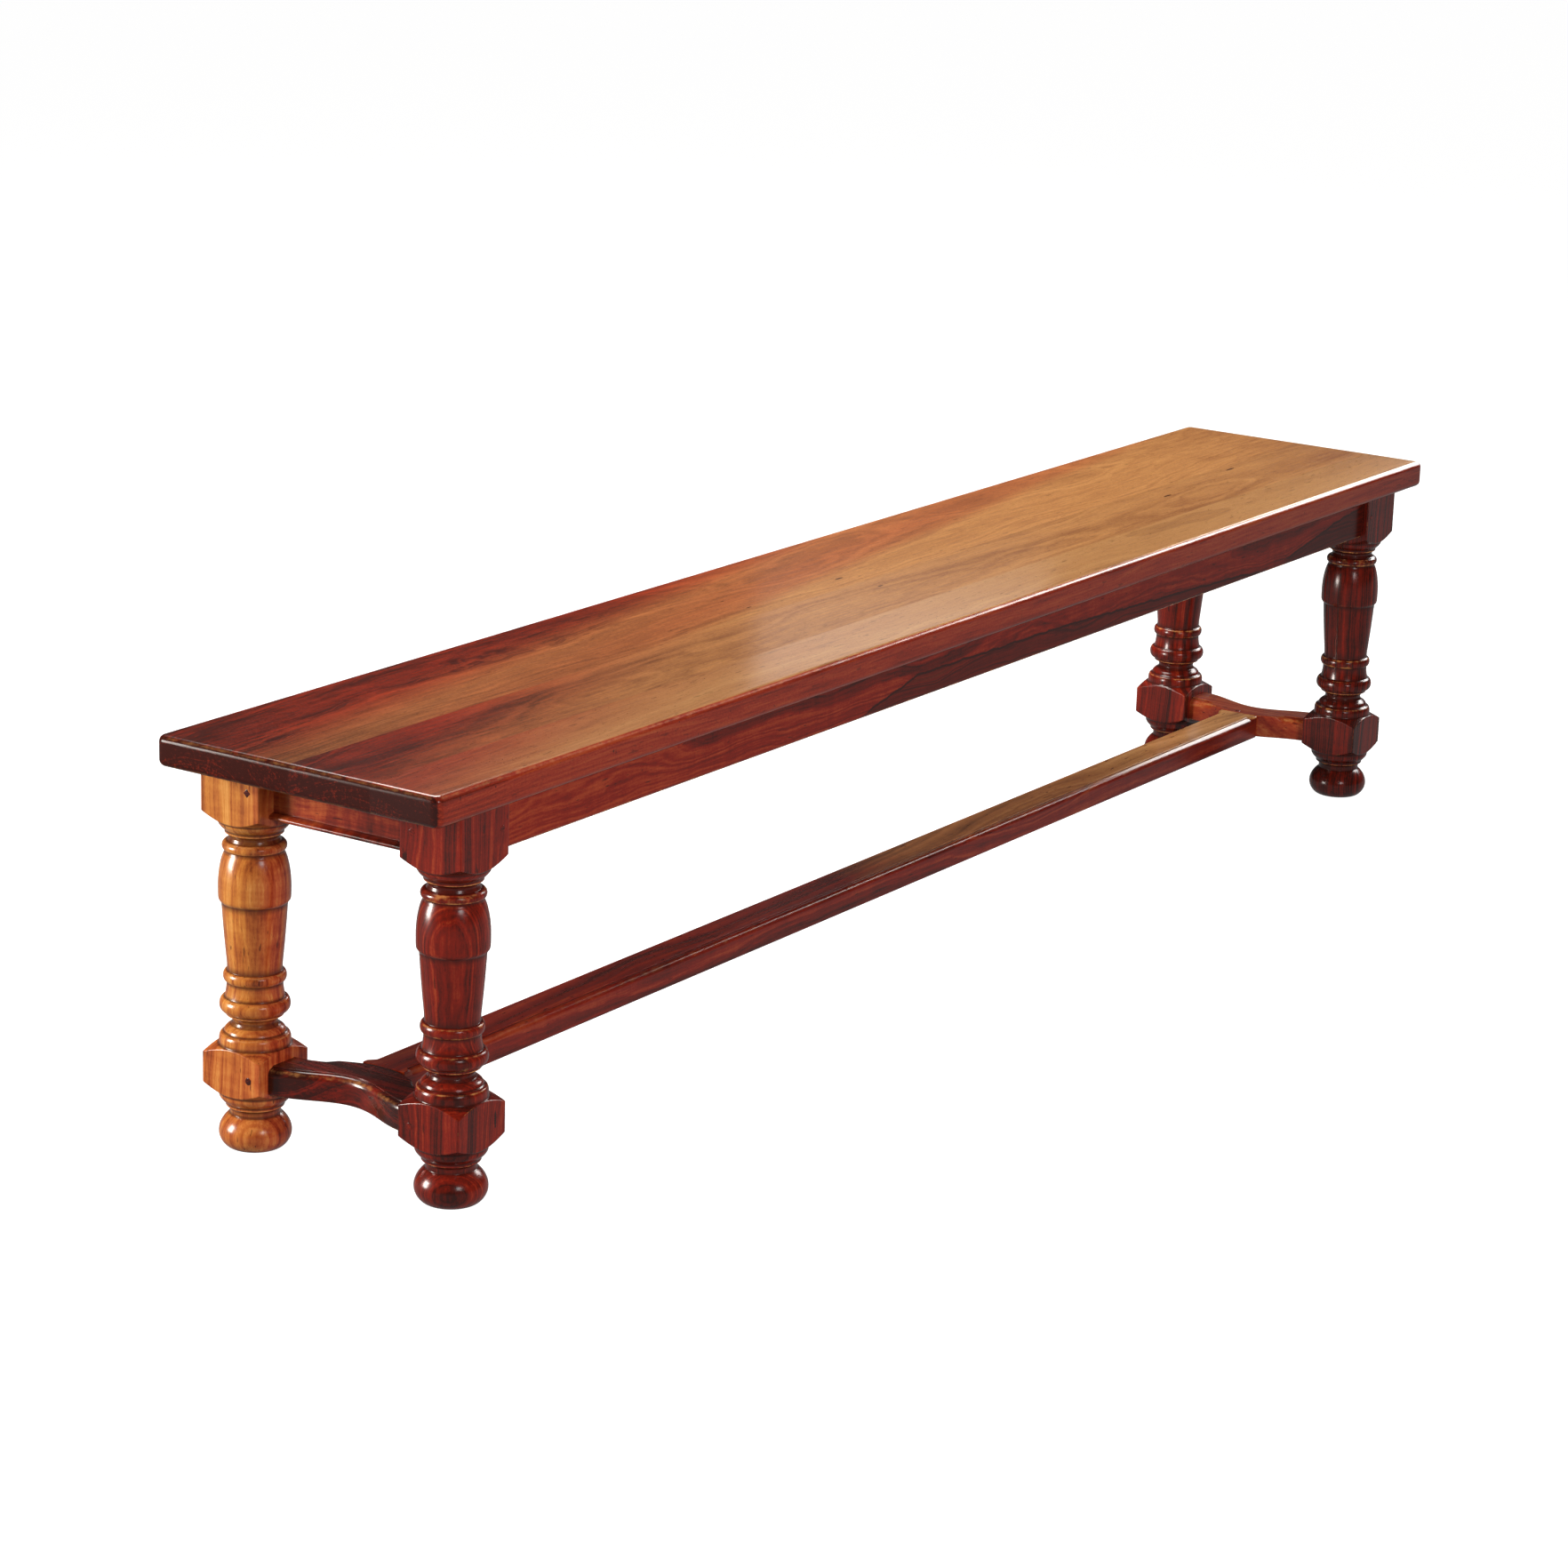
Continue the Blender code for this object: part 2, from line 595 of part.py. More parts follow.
def apron_section(face, height, bead):
    """Outline of an apron across its length: (distance from the middle, z).

    The show face lies at the distance face, with a bead or a rounded arris below,
    and the inner face has the groove that the seat buttons hook into.
    """
    back = face - APRON_THICKNESS
    bottom = FRAME_TOP - height
    outline = [(back, bottom), (back, GROOVE_BOTTOM),
               (back + BUTTON_GROOVE_DEPTH, GROOVE_BOTTOM),
               (back + BUTTON_GROOVE_DEPTH, GROOVE_TOP),
               (back, GROOVE_TOP), (back, FRAME_TOP), (face, FRAME_TOP)]
    if bead:
        middle = bottom + APRON_BEAD_HEIGHT / 2
        for i in range(APRON_BEAD_STEPS + 1):
            turn = math.pi / 2 - i / APRON_BEAD_STEPS * math.pi
            outline.append((face + APRON_BEAD_PROJECTION * math.cos(turn),
                            middle + APRON_BEAD_HEIGHT / 2 * math.sin(turn)))
    else:
        for i in range(APRON_EDGE_STEPS + 1):
            turn = i / APRON_EDGE_STEPS * math.pi / 2
            outline.append((face - APRON_EDGE_RADIUS * (1 - math.cos(turn)),
                            bottom + APRON_EDGE_RADIUS * (1 - math.sin(turn))))
    return outline


def build_side_apron(workshop, name, side_y):
    """Make a long apron, its tenons and the holes for its draw pegs."""
    outline = apron_section(SIDE_APRON_FACE, SIDE_APRON_HEIGHT, bead=False)
    section = [(side_y * across, z) for across, z in outline]
    reach = SHOULDER_X - FIT
    apron = workshop.piece(name, loft((-reach, reach), lambda s: section, "X"), APRON_COLOUR)
    for side_x in (-1, 1):
        tenon = box(*rooted(side_tenon_spans(side_x, side_y), 0, side_x))
        boolean(apron, workshop.cutter(f"{name}_tenon_{side_x}", tenon), "UNION")
        hole = peg_cutter(workshop, f"{name}_hole_{side_x}", peg_holes()["side_apron"],
                          side_x, side_y)
        boolean(apron, hole, "DIFFERENCE")
    smooth(apron)
    return apron


def build_end_apron(workshop, name, side_x):
    """Make a short apron, its tenons and the holes for its draw pegs."""
    outline = apron_section(END_APRON_FACE, END_APRON_HEIGHT, bead=True)
    section = [(side_x * across, z) for across, z in outline]
    reach = SHOULDER_Y - FIT
    apron = workshop.piece(name, loft((-reach, reach), lambda s: section, "Y"), APRON_COLOUR)
    for side_y in (-1, 1):
        tenon = box(*rooted(end_tenon_spans(side_x, side_y), 1, side_y))
        boolean(apron, workshop.cutter(f"{name}_tenon_{side_y}", tenon), "UNION")
        hole = peg_cutter(workshop, f"{name}_hole_{side_y}", peg_holes()["end_apron"],
                          side_x, side_y)
        boolean(apron, hole, "DIFFERENCE")
    smooth(apron)
    return apron


def moulded_corner(edge, inward, depth):
    """Points of a moulded top arris, from the flat top round to the side.

    edge is where the side face lies, inward the direction of the bar's middle, and
    depth goes from 0, a plain square arris, to 1, the full quirk and ovolo.
    """
    radius, quirk = MOULD_RADIUS * depth, MOULD_QUIRK * depth
    points = [(edge + inward * radius, STRETCHER_TOP)]
    for i in range(MOULD_STEPS + 1):
        turn = i / MOULD_STEPS * math.pi / 2
        points.append((edge + inward * radius * (1 - math.sin(turn)),
                       STRETCHER_TOP - quirk - radius * (1 - math.cos(turn))))
    return points


def ramp(distance, length):
    """Go from 0 to 1 over a length, and stay at 1."""
    return min(max(distance / length, 0.0), 1.0)


def stretcher_bow(y):
    """How far an end stretcher swings in towards the middle of the bench."""
    reach = SHOULDER_Y
    return STRETCHER_BOW * (1 + math.cos(math.pi * min(abs(y) / reach, 1.0))) / 2


def stretcher_rail_shoulder():
    """Distance of the rail's shoulders from the middle of the bench."""
    return LEG_X - STRETCHER_WIDTH / 2 - STRETCHER_BOW


def build_end_stretcher(workshop, name, side_x):
    """Make a bowed end stretcher with its tenons, rail mortise and peg holes."""
    reach = SHOULDER_Y - FIT
    stop = RAIL_WIDTH / 2 + MOULD_STOP_AT_RAIL
    even = [i / STRETCHER_STATIONS * 2 * reach - reach for i in range(STRETCHER_STATIONS + 1)]
    stops = [sign * (stop + run) for sign in (-1, 1) for run in (0.0, MOULD_RUNOUT)]
    gap = reach / STRETCHER_STATIONS
    kept = [y for y in even if all(abs(y - other) > gap / 2 for other in stops)]
    stations = sorted(kept + stops)

    def section_at(y):
        shift = stretcher_bow(y)
        outer = LEG_X + STRETCHER_WIDTH / 2 - shift
        inner = LEG_X - STRETCHER_WIDTH / 2 - shift
        bottom = STRETCHER_TOP - STRETCHER_DEPTH
        inner_depth = ramp(abs(y) - stop, MOULD_RUNOUT)
        outline = [(inner, bottom)]
        outline += reversed(moulded_corner(inner, 1, inner_depth))
        outline += moulded_corner(outer, -1, 1.0)
        outline.append((outer, bottom))
        return [(side_x * across, z) for across, z in outline]

    bar = workshop.piece(name, loft(stations, section_at, "Y"), STRETCHER_COLOUR)
    for side_y in (-1, 1):
        tenon = box(*rooted(stretcher_tenon_spans(side_x, side_y), 1, side_y))
        boolean(bar, workshop.cutter(f"{name}_tenon_{side_y}", tenon), "UNION")
        hole = peg_cutter(workshop, f"{name}_hole_{side_y}", peg_holes()["stretcher"],
                          side_x, side_y)
        boolean(bar, hole, "DIFFERENCE")
    mortise = box(*opened(rail_tenon_spans(side_x), 0, side_x))
    boolean(bar, workshop.cutter(name + "_mortise", mortise), "DIFFERENCE")
    boolean(bar, rail_peg_cutter(workshop, name + "_rail_peg_hole", side_x), "DIFFERENCE")
    smooth(bar)
    return bar


def rail_peg_ends(side_x):
    """Top and bottom of the peg that locks the centre rail."""
    x = side_x * (stretcher_rail_shoulder() + RAIL_PEG_OFFSET)
    bottom = STRETCHER_MIDDLE_Z - RAIL_TENON_THICKNESS / 2 - PEG_BITE / 2
    return (x, RAIL_PEG_ASIDE, STRETCHER_TOP), (x, RAIL_PEG_ASIDE, bottom)


def rail_peg_cutter(workshop, name, side_x):
    """Make the hole for the rail's peg."""
    top, bottom = rail_peg_ends(side_x)
    start = Vector(top) + Vector((0, 0, OVERRUN))
    end = Vector(bottom) - Vector((0, 0, FIT))
    radius = RAIL_PEG_DIAMETER / 2 + FIT / math.cos(math.pi / PEG_SIDES)
    return workshop.cutter(name, rod(radius, start, end, PEG_SIDES))


def build_centre_rail(workshop, name):
    """Make the long rail between the end stretchers, with stopped mouldings."""
    reach = stretcher_rail_shoulder() - FIT
    near, far = reach - RAIL_MOULD_STOP - MOULD_RUNOUT, reach - RAIL_MOULD_STOP

    def section_at(x):
        depth = 1.0 - ramp(abs(x) - near, far - near)
        half = RAIL_WIDTH / 2
        bottom = STRETCHER_TOP - STRETCHER_DEPTH
        outline = [(-half, bottom)]
        outline += reversed(moulded_corner(-half, 1, depth))
        outline += moulded_corner(half, -1, depth)
        outline.append((half, bottom))
        return outline

    stations = (-reach, -far, -near, near, far, reach)
    rail = workshop.piece(name, loft(stations, section_at, "X"), STRETCHER_COLOUR)
    for side_x in (-1, 1):
        tenon = box(*rooted(rail_tenon_spans(side_x), 0, side_x))
        boolean(rail, workshop.cutter(f"{name}_tenon_{side_x}", tenon), "UNION")
        hole = rail_peg_cutter(workshop, f"{name}_hole_{side_x}", side_x)
        boolean(rail, hole, "DIFFERENCE")
    smooth(rail)
    return rail


def seat_slab():
    """The whole seat as one slab, with rounded corners and rounded edges."""
    bm = box((-SEAT_LENGTH / 2, SEAT_LENGTH / 2), (-SEAT_WIDTH / 2, SEAT_WIDTH / 2),
             (SEAT_UNDERSIDE, SEAT_HEIGHT))
    upright = [e for e in bm.edges if abs(e.verts[0].co.z - e.verts[1].co.z) > FIT]
    bmesh.ops.bevel(bm, geom=upright, offset=SEAT_CORNER_RADIUS,
                    segments=SEAT_ROUND_SEGMENTS, affect="EDGES", profile=0.5, material=-1)
    level = [e for e in bm.edges if abs(e.verts[0].co.z - e.verts[1].co.z) < FIT]
    bmesh.ops.bevel(bm, geom=level, offset=SEAT_EDGE_RADIUS,
                    segments=SEAT_ROUND_SEGMENTS, affect="EDGES", profile=0.5, material=-1)
    return bm


def board_section(front, back, grooved, tongued):
    """Outline of a board across the seat, as (y, z), past the seat top and bottom."""
    low, high = SEAT_UNDERSIDE - OVERRUN, SEAT_HEIGHT + OVERRUN
    middle = (SEAT_UNDERSIDE + SEAT_HEIGHT) / 2
    outline = [(front, low)]
    if grooved:
        half = TONGUE_THICKNESS / 2 + FIT
        depth = front + TONGUE_LENGTH
        outline += [(front, middle - half), (depth, middle - half),
                    (depth, middle + half), (front, middle + half)]
    outline += [(front, high), (back, high)]
    if tongued:
        half = TONGUE_THICKNESS / 2
        depth = back + TONGUE_LENGTH
        outline += [(back, middle + half), (depth, middle + half),
                    (depth, middle - half), (back, middle - half)]
    outline.append((back, low))
    return outline


def button_places():
    """List the seat buttons: name, screw position, and direction of the tongue."""
    places = []
    side_screw_y = SIDE_APRON_FACE - APRON_THICKNESS - FIT - BUTTON_WIDTH / 2
    end_screw_x = END_APRON_FACE - APRON_THICKNESS - FIT - BUTTON_WIDTH / 2
    pitch = 2 * SHOULDER_X / BUTTONS_PER_SIDE
    for side, label in ROWS.items():
        for i in range(BUTTONS_PER_SIDE):
            x = (i - (BUTTONS_PER_SIDE - 1) / 2) * pitch
            places.append((f"{label}_{i + 1}", (x, side * side_screw_y), (0, side)))
    end_y = (FRONT_JOINT_Y + BACK_JOINT_Y) / 2
    for side, label in ENDS.items():
        places.append((label, (side * end_screw_x, end_y), (side, 0)))
    return places


def screw_hole(workshop, name, place, low, high):
    """Make a clearance hole round a screw's shank."""
    radius = SCREW_SHANK_DIAMETER / 2 + FIT / math.cos(math.pi / SCREW_SIDES)
    start, end = (*place, low), (*place, high)
    return workshop.cutter(name, rod(radius, start, end, SCREW_SIDES))


def build_seat(workshop):
    """Make the three boards, each with its part of the slab's rounded outline."""
    past = SEAT_WIDTH / 2 + OVERRUN
    boards = {
        "seat_board_front": (-past, FRONT_JOINT_Y - FIT / 2, False, True),
        "seat_board_middle": (FRONT_JOINT_Y + FIT / 2, BACK_JOINT_Y - FIT / 2, True, True),
        "seat_board_back": (BACK_JOINT_Y + FIT / 2, past, True, False),
    }
    reach = SEAT_LENGTH / 2 + OVERRUN
    tip = SEAT_UNDERSIDE + SCREW_GRIP + FIT
    for name, (front, back, grooved, tongued) in boards.items():
        board = workshop.piece(name, seat_slab(), SEAT_COLOUR)
        section = board_section(front, back, grooved, tongued)
        blank = loft((-reach, reach), lambda s: section, "X")
        boolean(board, workshop.cutter(name + "_blank", blank), "INTERSECT")
        for label, place, _ in button_places():
            if front < place[1] < back:
                pilot = screw_hole(workshop, f"{name}_{label}_pilot", place,
                                   SEAT_UNDERSIDE - OVERRUN, tip)
                boolean(board, pilot, "DIFFERENCE")
        smooth(board)


def build_button(workshop, name, place, way):
    """Make a seat button: a block with a tongue for the apron's groove, and its hole."""
    x, y = place
    reach = BUTTON_WIDTH / 2
    half = BUTTON_LENGTH / 2
    tongue_top = GROOVE_TOP - FIT
    tongue_bottom = tongue_top - BUTTON_TONGUE_THICKNESS
    z_span = (BUTTON_BOTTOM, BUTTON_TOP)
    tongue_span = (reach - OVERRUN, reach + FIT + BUTTON_TONGUE_LENGTH)
    if way[1]:
        body = box((x - half, x + half), (y - reach, y + reach), z_span)
        tongue = box((x - half, x + half), [y + way[1] * d for d in tongue_span],
                     (tongue_bottom, tongue_top))
    else:
        body = box((x - reach, x + reach), (y - half, y + half), z_span)
        tongue = box([x + way[0] * d for d in tongue_span], (y - half, y + half),
                     (tongue_bottom, tongue_top))
    button = workshop.piece(name, body, BUTTON_COLOUR, BARE_ROUGHNESS)
    boolean(button, workshop.cutter(name + "_tongue", tongue), "UNION")
    hole = screw_hole(workshop, name + "_hole", place, BUTTON_BOTTOM - OVERRUN,
                      BUTTON_TOP + OVERRUN)
    boolean(button, hole, "DIFFERENCE")


def build_screw(workshop, name, place):
    """Make a button screw, driven up through its button into the board above."""
    head, shank = SCREW_HEAD_DIAMETER / 2, SCREW_SHANK_DIAMETER / 2
    under = BUTTON_BOTTOM - FIT
    tip = SEAT_UNDERSIDE + SCREW_GRIP
    outline = [(0.0, under - SCREW_HEAD_DEPTH), (shank, under - SCREW_HEAD_DEPTH),
               (head, under - SCREW_HEAD_DEPTH / 2), (head, under), (shank, under),
               (shank, tip - SCREW_POINT), (0.0, tip)]
    screw = turned(name, workshop, outline, SCREW_SIDES, STEEL_COLOUR, STEEL_ROUGHNESS, 1.0)
    screw.location = (*place, 0.0)


def build_pegs(workshop):
    """Make every draw peg: three in each leg, and one in each end stretcher."""
    for (side_x, end), (side_y, row) in product(ENDS.items(), ROWS.items()):
        for label, (radius, sides, turn, outer, inner) in peg_holes().items():
            shape = rod(radius, to_quarter(outer, side_x, side_y),
                        to_quarter(inner, side_x, side_y), sides, turn)
            smooth(workshop.piece(f"{label}_peg_{row}_{end}", shape, PEG_COLOUR))
    for side_x, end in ENDS.items():
        shape = rod(RAIL_PEG_DIAMETER / 2, *rail_peg_ends(side_x), PEG_SIDES)
        smooth(workshop.piece(f"rail_peg_{end}", shape, PEG_COLOUR))


def main():
    """Build the bench from the floor up."""
    clear_scene()
    workshop = Workshop()
    for (side_x, end), (side_y, row) in product(ENDS.items(), ROWS.items()):
        build_leg(workshop, f"leg_{row}_{end}", side_x, side_y)
    for side_y, row in ROWS.items():
        build_side_apron(workshop, f"apron_{row}", side_y)
    for side_x, end in ENDS.items():
        build_end_apron(workshop, f"apron_{end}", side_x)
        build_end_stretcher(workshop, f"end_stretcher_{end}", side_x)
    build_centre_rail(workshop, "centre_rail")
    build_seat(workshop)
    for label, place, way in button_places():
        build_button(workshop, f"seat_button_{label}", place, way)
        build_screw(workshop, f"button_screw_{label}", place)
    build_pegs(workshop)


main()
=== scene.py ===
"""Looks of a long bench with turned legs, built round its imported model.

Metres, +Z up. X runs along the bench and Y from the front (negative) to the back.
Left is the -X end, which is the near one in the camera's view.
"""
import logging
import math
from dataclasses import dataclass, field
from enum import Enum
from itertools import product
from typing import Callable, Iterable, Sequence, Union

import bmesh
import bpy
from mathutils import Matrix, Vector, noise


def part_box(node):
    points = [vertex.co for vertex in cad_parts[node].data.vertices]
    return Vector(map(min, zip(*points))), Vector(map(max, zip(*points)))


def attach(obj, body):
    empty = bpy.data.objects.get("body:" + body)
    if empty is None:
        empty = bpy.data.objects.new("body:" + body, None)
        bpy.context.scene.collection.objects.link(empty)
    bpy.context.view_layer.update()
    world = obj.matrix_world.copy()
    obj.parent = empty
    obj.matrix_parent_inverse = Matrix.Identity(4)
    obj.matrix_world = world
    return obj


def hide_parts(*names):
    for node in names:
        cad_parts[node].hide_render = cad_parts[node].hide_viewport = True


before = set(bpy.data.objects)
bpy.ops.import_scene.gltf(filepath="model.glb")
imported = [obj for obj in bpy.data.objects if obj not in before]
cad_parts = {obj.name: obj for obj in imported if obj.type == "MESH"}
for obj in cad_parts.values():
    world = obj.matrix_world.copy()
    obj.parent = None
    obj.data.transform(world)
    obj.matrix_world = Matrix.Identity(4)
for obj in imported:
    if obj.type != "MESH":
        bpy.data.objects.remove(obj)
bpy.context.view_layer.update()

LOG = logging.getLogger("bench")
ROWS = {-1: "front", 1: "back"}
ENDS = {-1: "left", 1: "right"}
WEAR = "wear"
HOLLOW = "hollow"
WELD = 1e-6

Colour = tuple[float, float, float, float]
Point = tuple[float, float, float]


class Signal:
    """A number that varies over a surface. Arithmetic on it adds Math nodes."""

    def __init__(self, graph: "Graph", socket: bpy.types.NodeSocket) -> None:
        """Keep the graph and the output socket that carries the number."""
        self.graph = graph
        self.socket = socket

    def __add__(self, other: "Number") -> "Signal":
        """Sum of two numbers."""
        return self.graph.math("ADD", self, other)

    def __radd__(self, other: float) -> "Signal":
        """Sum with a plain number on the left."""
        return self.graph.math("ADD", other, self)

    def __sub__(self, other: "Number") -> "Signal":
        """Difference of two numbers."""
        return self.graph.math("SUBTRACT", self, other)

    def __rsub__(self, other: float) -> "Signal":
        """Difference from a plain number on the left."""
        return self.graph.math("SUBTRACT", other, self)

    def __mul__(self, other: "Number") -> "Signal":
        """Product of two numbers."""
        return self.graph.math("MULTIPLY", self, other)

    def __rmul__(self, other: float) -> "Signal":
        """Product with a plain number on the left."""
        return self.graph.math("MULTIPLY", other, self)

    def __abs__(self) -> "Signal":
        """The number without its sign."""
        return self.graph.math("ABSOLUTE", self)

    def or_larger(self, other: "Number") -> "Signal":
        """The larger of two numbers."""
        return self.graph.math("MAXIMUM", self, other)

    def within(self, low: float, high: float) -> "Signal":
        """Go smoothly from 0 at one number to 1 at another.

        Args:
            low: the number that gives 0, which may be the larger one.
            high: the number that gives 1.

        Returns:
            The share between them.
        """
        node = self.graph.add("ShaderNodeMapRange", {"interpolation_type": "SMOOTHSTEP"},
                              {"Value": self, "From Min": low, "From Max": high})
        return Signal(self.graph, node.outputs["Result"])


Number = Union[Signal, float]


@dataclass(frozen=True)
class Texture:
    """Noise with so many grains per metre along each axis.

    Where it marks the wood, the mark grows as the noise rises between two levels.
    """

    grains: Point
    detail: float = 2.0
    rough: float = 0.5
    levels: tuple[float, float] = (0.0, 1.0)


@dataclass(frozen=True)
class RingTexture:
    """Noise across the growth rings, so many times finer than they are."""

    finer: float
    shift: float
    detail: float
    rough: float


CLOUD = Texture((1.3, 14.0, 14.0), 3.0, 0.55)
FIBRE = Texture((14.0, 300.0, 300.0), 3.0, 0.62)
SPECKLE = Texture((330.0, 420.0, 420.0), 2.0, 0.70)
RIPPLE = Texture((75.0, 16.0, 16.0), 2.0, 0.60)
PORES = Texture((120.0, 1300.0, 1300.0), 1.0, 0.50, (0.67, 0.76))
FLECKS = Texture((50.0, 280.0, 280.0), 1.0, 0.40, (0.70, 0.76))
TICKS = Texture((450.0, 450.0, 130.0), 1.0, 0.40, (0.75, 0.79))
PATCHES = Texture((16.0, 50.0, 50.0), 3.0, 0.60, (0.38, 0.50))
RUBBED = Texture((90.0, 90.0, 90.0), 3.0, 0.65)
RAGGED = Texture((300.0, 300.0, 300.0), 2.0, 0.60)
SHIVER = Texture((38.0, 0.0, 0.0), 3.0, 0.60)
SWAY = Texture((1.7, 5.0, 5.0))
CURL = Texture((16.0, 40.0, 40.0))
SCRATCHES = Texture((900.0, 900.0, 200.0), 3.0, 0.60)
TARNISH = Texture((260.0, 260.0, 260.0), 2.0, 0.50, (0.35, 0.75))

BANDS = RingTexture(1.0, 11.0, 3.0, 0.62)
LINES = RingTexture(6.0, 5.0, 2.0, 0.55)
BLACK_LINES = RingTexture(1.9, 9.0, 3.0, 0.65)


class Graph:
    """The node tree of a material or a world."""

    def __init__(self, owner: bpy.types.ID) -> None:
        """Start with an empty tree.

        Args:
            owner: the material or world.
        """
        owner.use_nodes = True
        self.owner = owner
        self.tree = owner.node_tree
        self.tree.nodes.clear()

    def add(self, kind: str, settings: dict | None = None,
            inputs: dict | None = None) -> bpy.types.Node:
        """Add a node, set it up, and then fill its sockets.

        Args:
            kind: the node's type.
            settings: properties by name; "stops" lists a ramp's (place, colour) pairs.
            inputs: values or signals by socket name or number.

        Returns:
            The new node.
        """
        node = self.tree.nodes.new(kind)
        for key, value in (settings or {}).items():
            if key == "stops":
                self._set_stops(node.color_ramp, value)
            else:
                setattr(node, key, value)
        for key, value in (inputs or {}).items():
            if isinstance(value, Signal):
                self.tree.links.new(value.socket, node.inputs[key])
            else:
                node.inputs[key].default_value = value
        return node

    @staticmethod
    def _set_stops(ramp: bpy.types.ColorRamp, stops: Sequence[tuple[float, Colour]]) -> None:
        """Give a ramp its stops.

        Args:
            ramp: the ramp.
            stops: (place, colour) pairs, in rising order.
        """
        while len(ramp.elements) < len(stops):
            ramp.elements.new(1.0)
        for element, (place, colour) in zip(ramp.elements, stops):
            element.position = place
            element.color = colour

    def math(self, operation: str, *values: Number) -> Signal:
        """Add a Math node on one or two values."""
        node = self.add("ShaderNodeMath", {"operation": operation}, dict(enumerate(values)))
        return Signal(self, node.outputs[0])

    def vector(self, operation: str, *values: object, output: str = "Vector") -> Signal:
        """Add a Vector Math node, whose output may also be a number, "Value"."""
        node = self.add("ShaderNodeVectorMath", {"operation": operation}, dict(enumerate(values)))
        return Signal(self, node.outputs[output])

    def part(self, vector: Signal, axis: str) -> Signal:
        """Take one axis of a vector."""
        node = self.add("ShaderNodeSeparateXYZ", None, {0: vector})
        return Signal(self, node.outputs[axis])

    def ramp(self, stops: Iterable[tuple[float, Colour]], place: Signal) -> Signal:
        """Turn a number to a colour by a ramp of (place, colour) stops."""
        node = self.add("ShaderNodeValToRGB", {"stops": tuple(stops)}, {"Fac": place})
        return Signal(self, node.outputs["Color"])

    def mix(self, share: Number, first: object, second: object) -> Signal:
        """Blend two colours, by the share of the second one."""
        node = self.add("ShaderNodeMix", {"data_type": "RGBA", "blend_type": "MIX"},
                        {0: share, 6: first, 7: second})
        return Signal(self, node.outputs[2])

    def noise(self, place: Signal, texture: Texture, output: str = "Fac") -> Signal:
        """Sample noise at a point.

        Args:
            place: the point, in metres.
            texture: the noise.
            output: "Fac" for a number or "Color" for a vector.

        Returns:
            The noise.
        """
        scaled = self.vector("MULTIPLY", place, texture.grains)
        node = self.add("ShaderNodeTexNoise", {"noise_dimensions": "3D"},
                        {"Vector": scaled, "Scale": 1.0, "Detail": texture.detail,
                         "Roughness": texture.rough})
        return Signal(self, node.outputs[output])

    def marks(self, place: Signal, texture: Texture) -> Signal:
        """Sample noise that marks the wood between its two levels."""
        return self.noise(place, texture).within(*texture.levels)

    def attribute(self, name: str) -> Signal:
        """Read a number that the mesh carries at its vertices."""
        node = self.add("ShaderNodeAttribute",
                        {"attribute_type": "GEOMETRY", "attribute_name": name})
        return Signal(self, node.outputs["Fac"])

    def object_place(self) -> Signal:
        """Read the point's place, which every object here has in the bench's own frame."""
        return Signal(self, self.add("ShaderNodeTexCoord").outputs["Object"])

    def finish(self, shader: dict) -> bpy.types.Material:
        """Close the graph with a Principled shader.

        Args:
            shader: values or signals for the shader's sockets.

        Returns:
            The finished material.
        """
        surface = self.add("ShaderNodeBsdfPrincipled", None, shader)
        out = self.add("ShaderNodeOutputMaterial")
        self.tree.links.new(surface.outputs["BSDF"], out.inputs["Surface"])
        return self.owner


def grey(level: float) -> Colour:
    """A grey that stands for a number in a ramp or a world."""
    return (level, level, level, 1.0)


class Grain(Enum):
    """Direction of a piece's grain, as the turn that carries X onto it."""

    ALONG = (0.0, 0.0, 0.0)
    ACROSS = (0.0, 0.0, math.pi / 2)
    UPRIGHT = (0.0, -math.pi / 2, 0.0)


@dataclass(frozen=True)
class Knot:
    """A small dark knot or bruise at a place on the bench."""

    place: Point
    size: Point


@dataclass(frozen=True)
class Figure:
    """A region where growth rings stand out as thin black lines.

    Its place is counted from the piece's middle, along the grain first.
    """

    place: Point
    size: Point
    strength: float = 0.85


@dataclass(frozen=True)
class Vein:
    """A black heartwood line on an upright face, with dark wood below it.

    It passes the given points (along the grain, and up from the piece's middle).
    """

    points: tuple[tuple[float, float], ...]
    width: float = 0.0012
    below: float = 0.55
    reach: float = 0.05
    shiver: float = 0.007


@dataclass(frozen=True)
class PaintedLight:
    """Painted light: a side of a piece painted golden, as the light falls on it.

    It is a painted sheen or a painted lit side. The side lies beyond a distance from the
    piece's middle. The shares tell how much light is painted at places along the grain,
    which lie within a reach of the middle. Where it leans, the painted light starts
    sooner towards the front, by that many metres per metre.
    """

    way: Point
    start: float
    full: float
    reach: float
    shares: tuple[tuple[float, float], ...]
    # The golden colours of the painted light, from deep to pale.
    deep: Colour = (0.160, 0.0540, 0.0180, 1.0)
    body: Colour = (0.330, 0.1500, 0.0500, 1.0)
    warm: Colour = (0.410, 0.2120, 0.0780, 1.0)
    pale: Colour = (0.480, 0.3080, 0.1400, 1.0)
    lean: float = 0.0
    ragged: float = 0.25


@dataclass(frozen=True)
class Pattern:
    """What the wood of one piece is drawn from.

    The room is the point's place on the bench. The place is counted from the piece's
    middle, with X along the grain, and the sample is that place moved by the seed.
    """

    graph: Graph
    centre: Point
    room: Signal
    place: Signal
    sample: Signal
    along: Signal
    ring: Signal
    bands: Signal
    lines: Signal
    cloud: Signal
    fibre: Signal
    pores: Signal


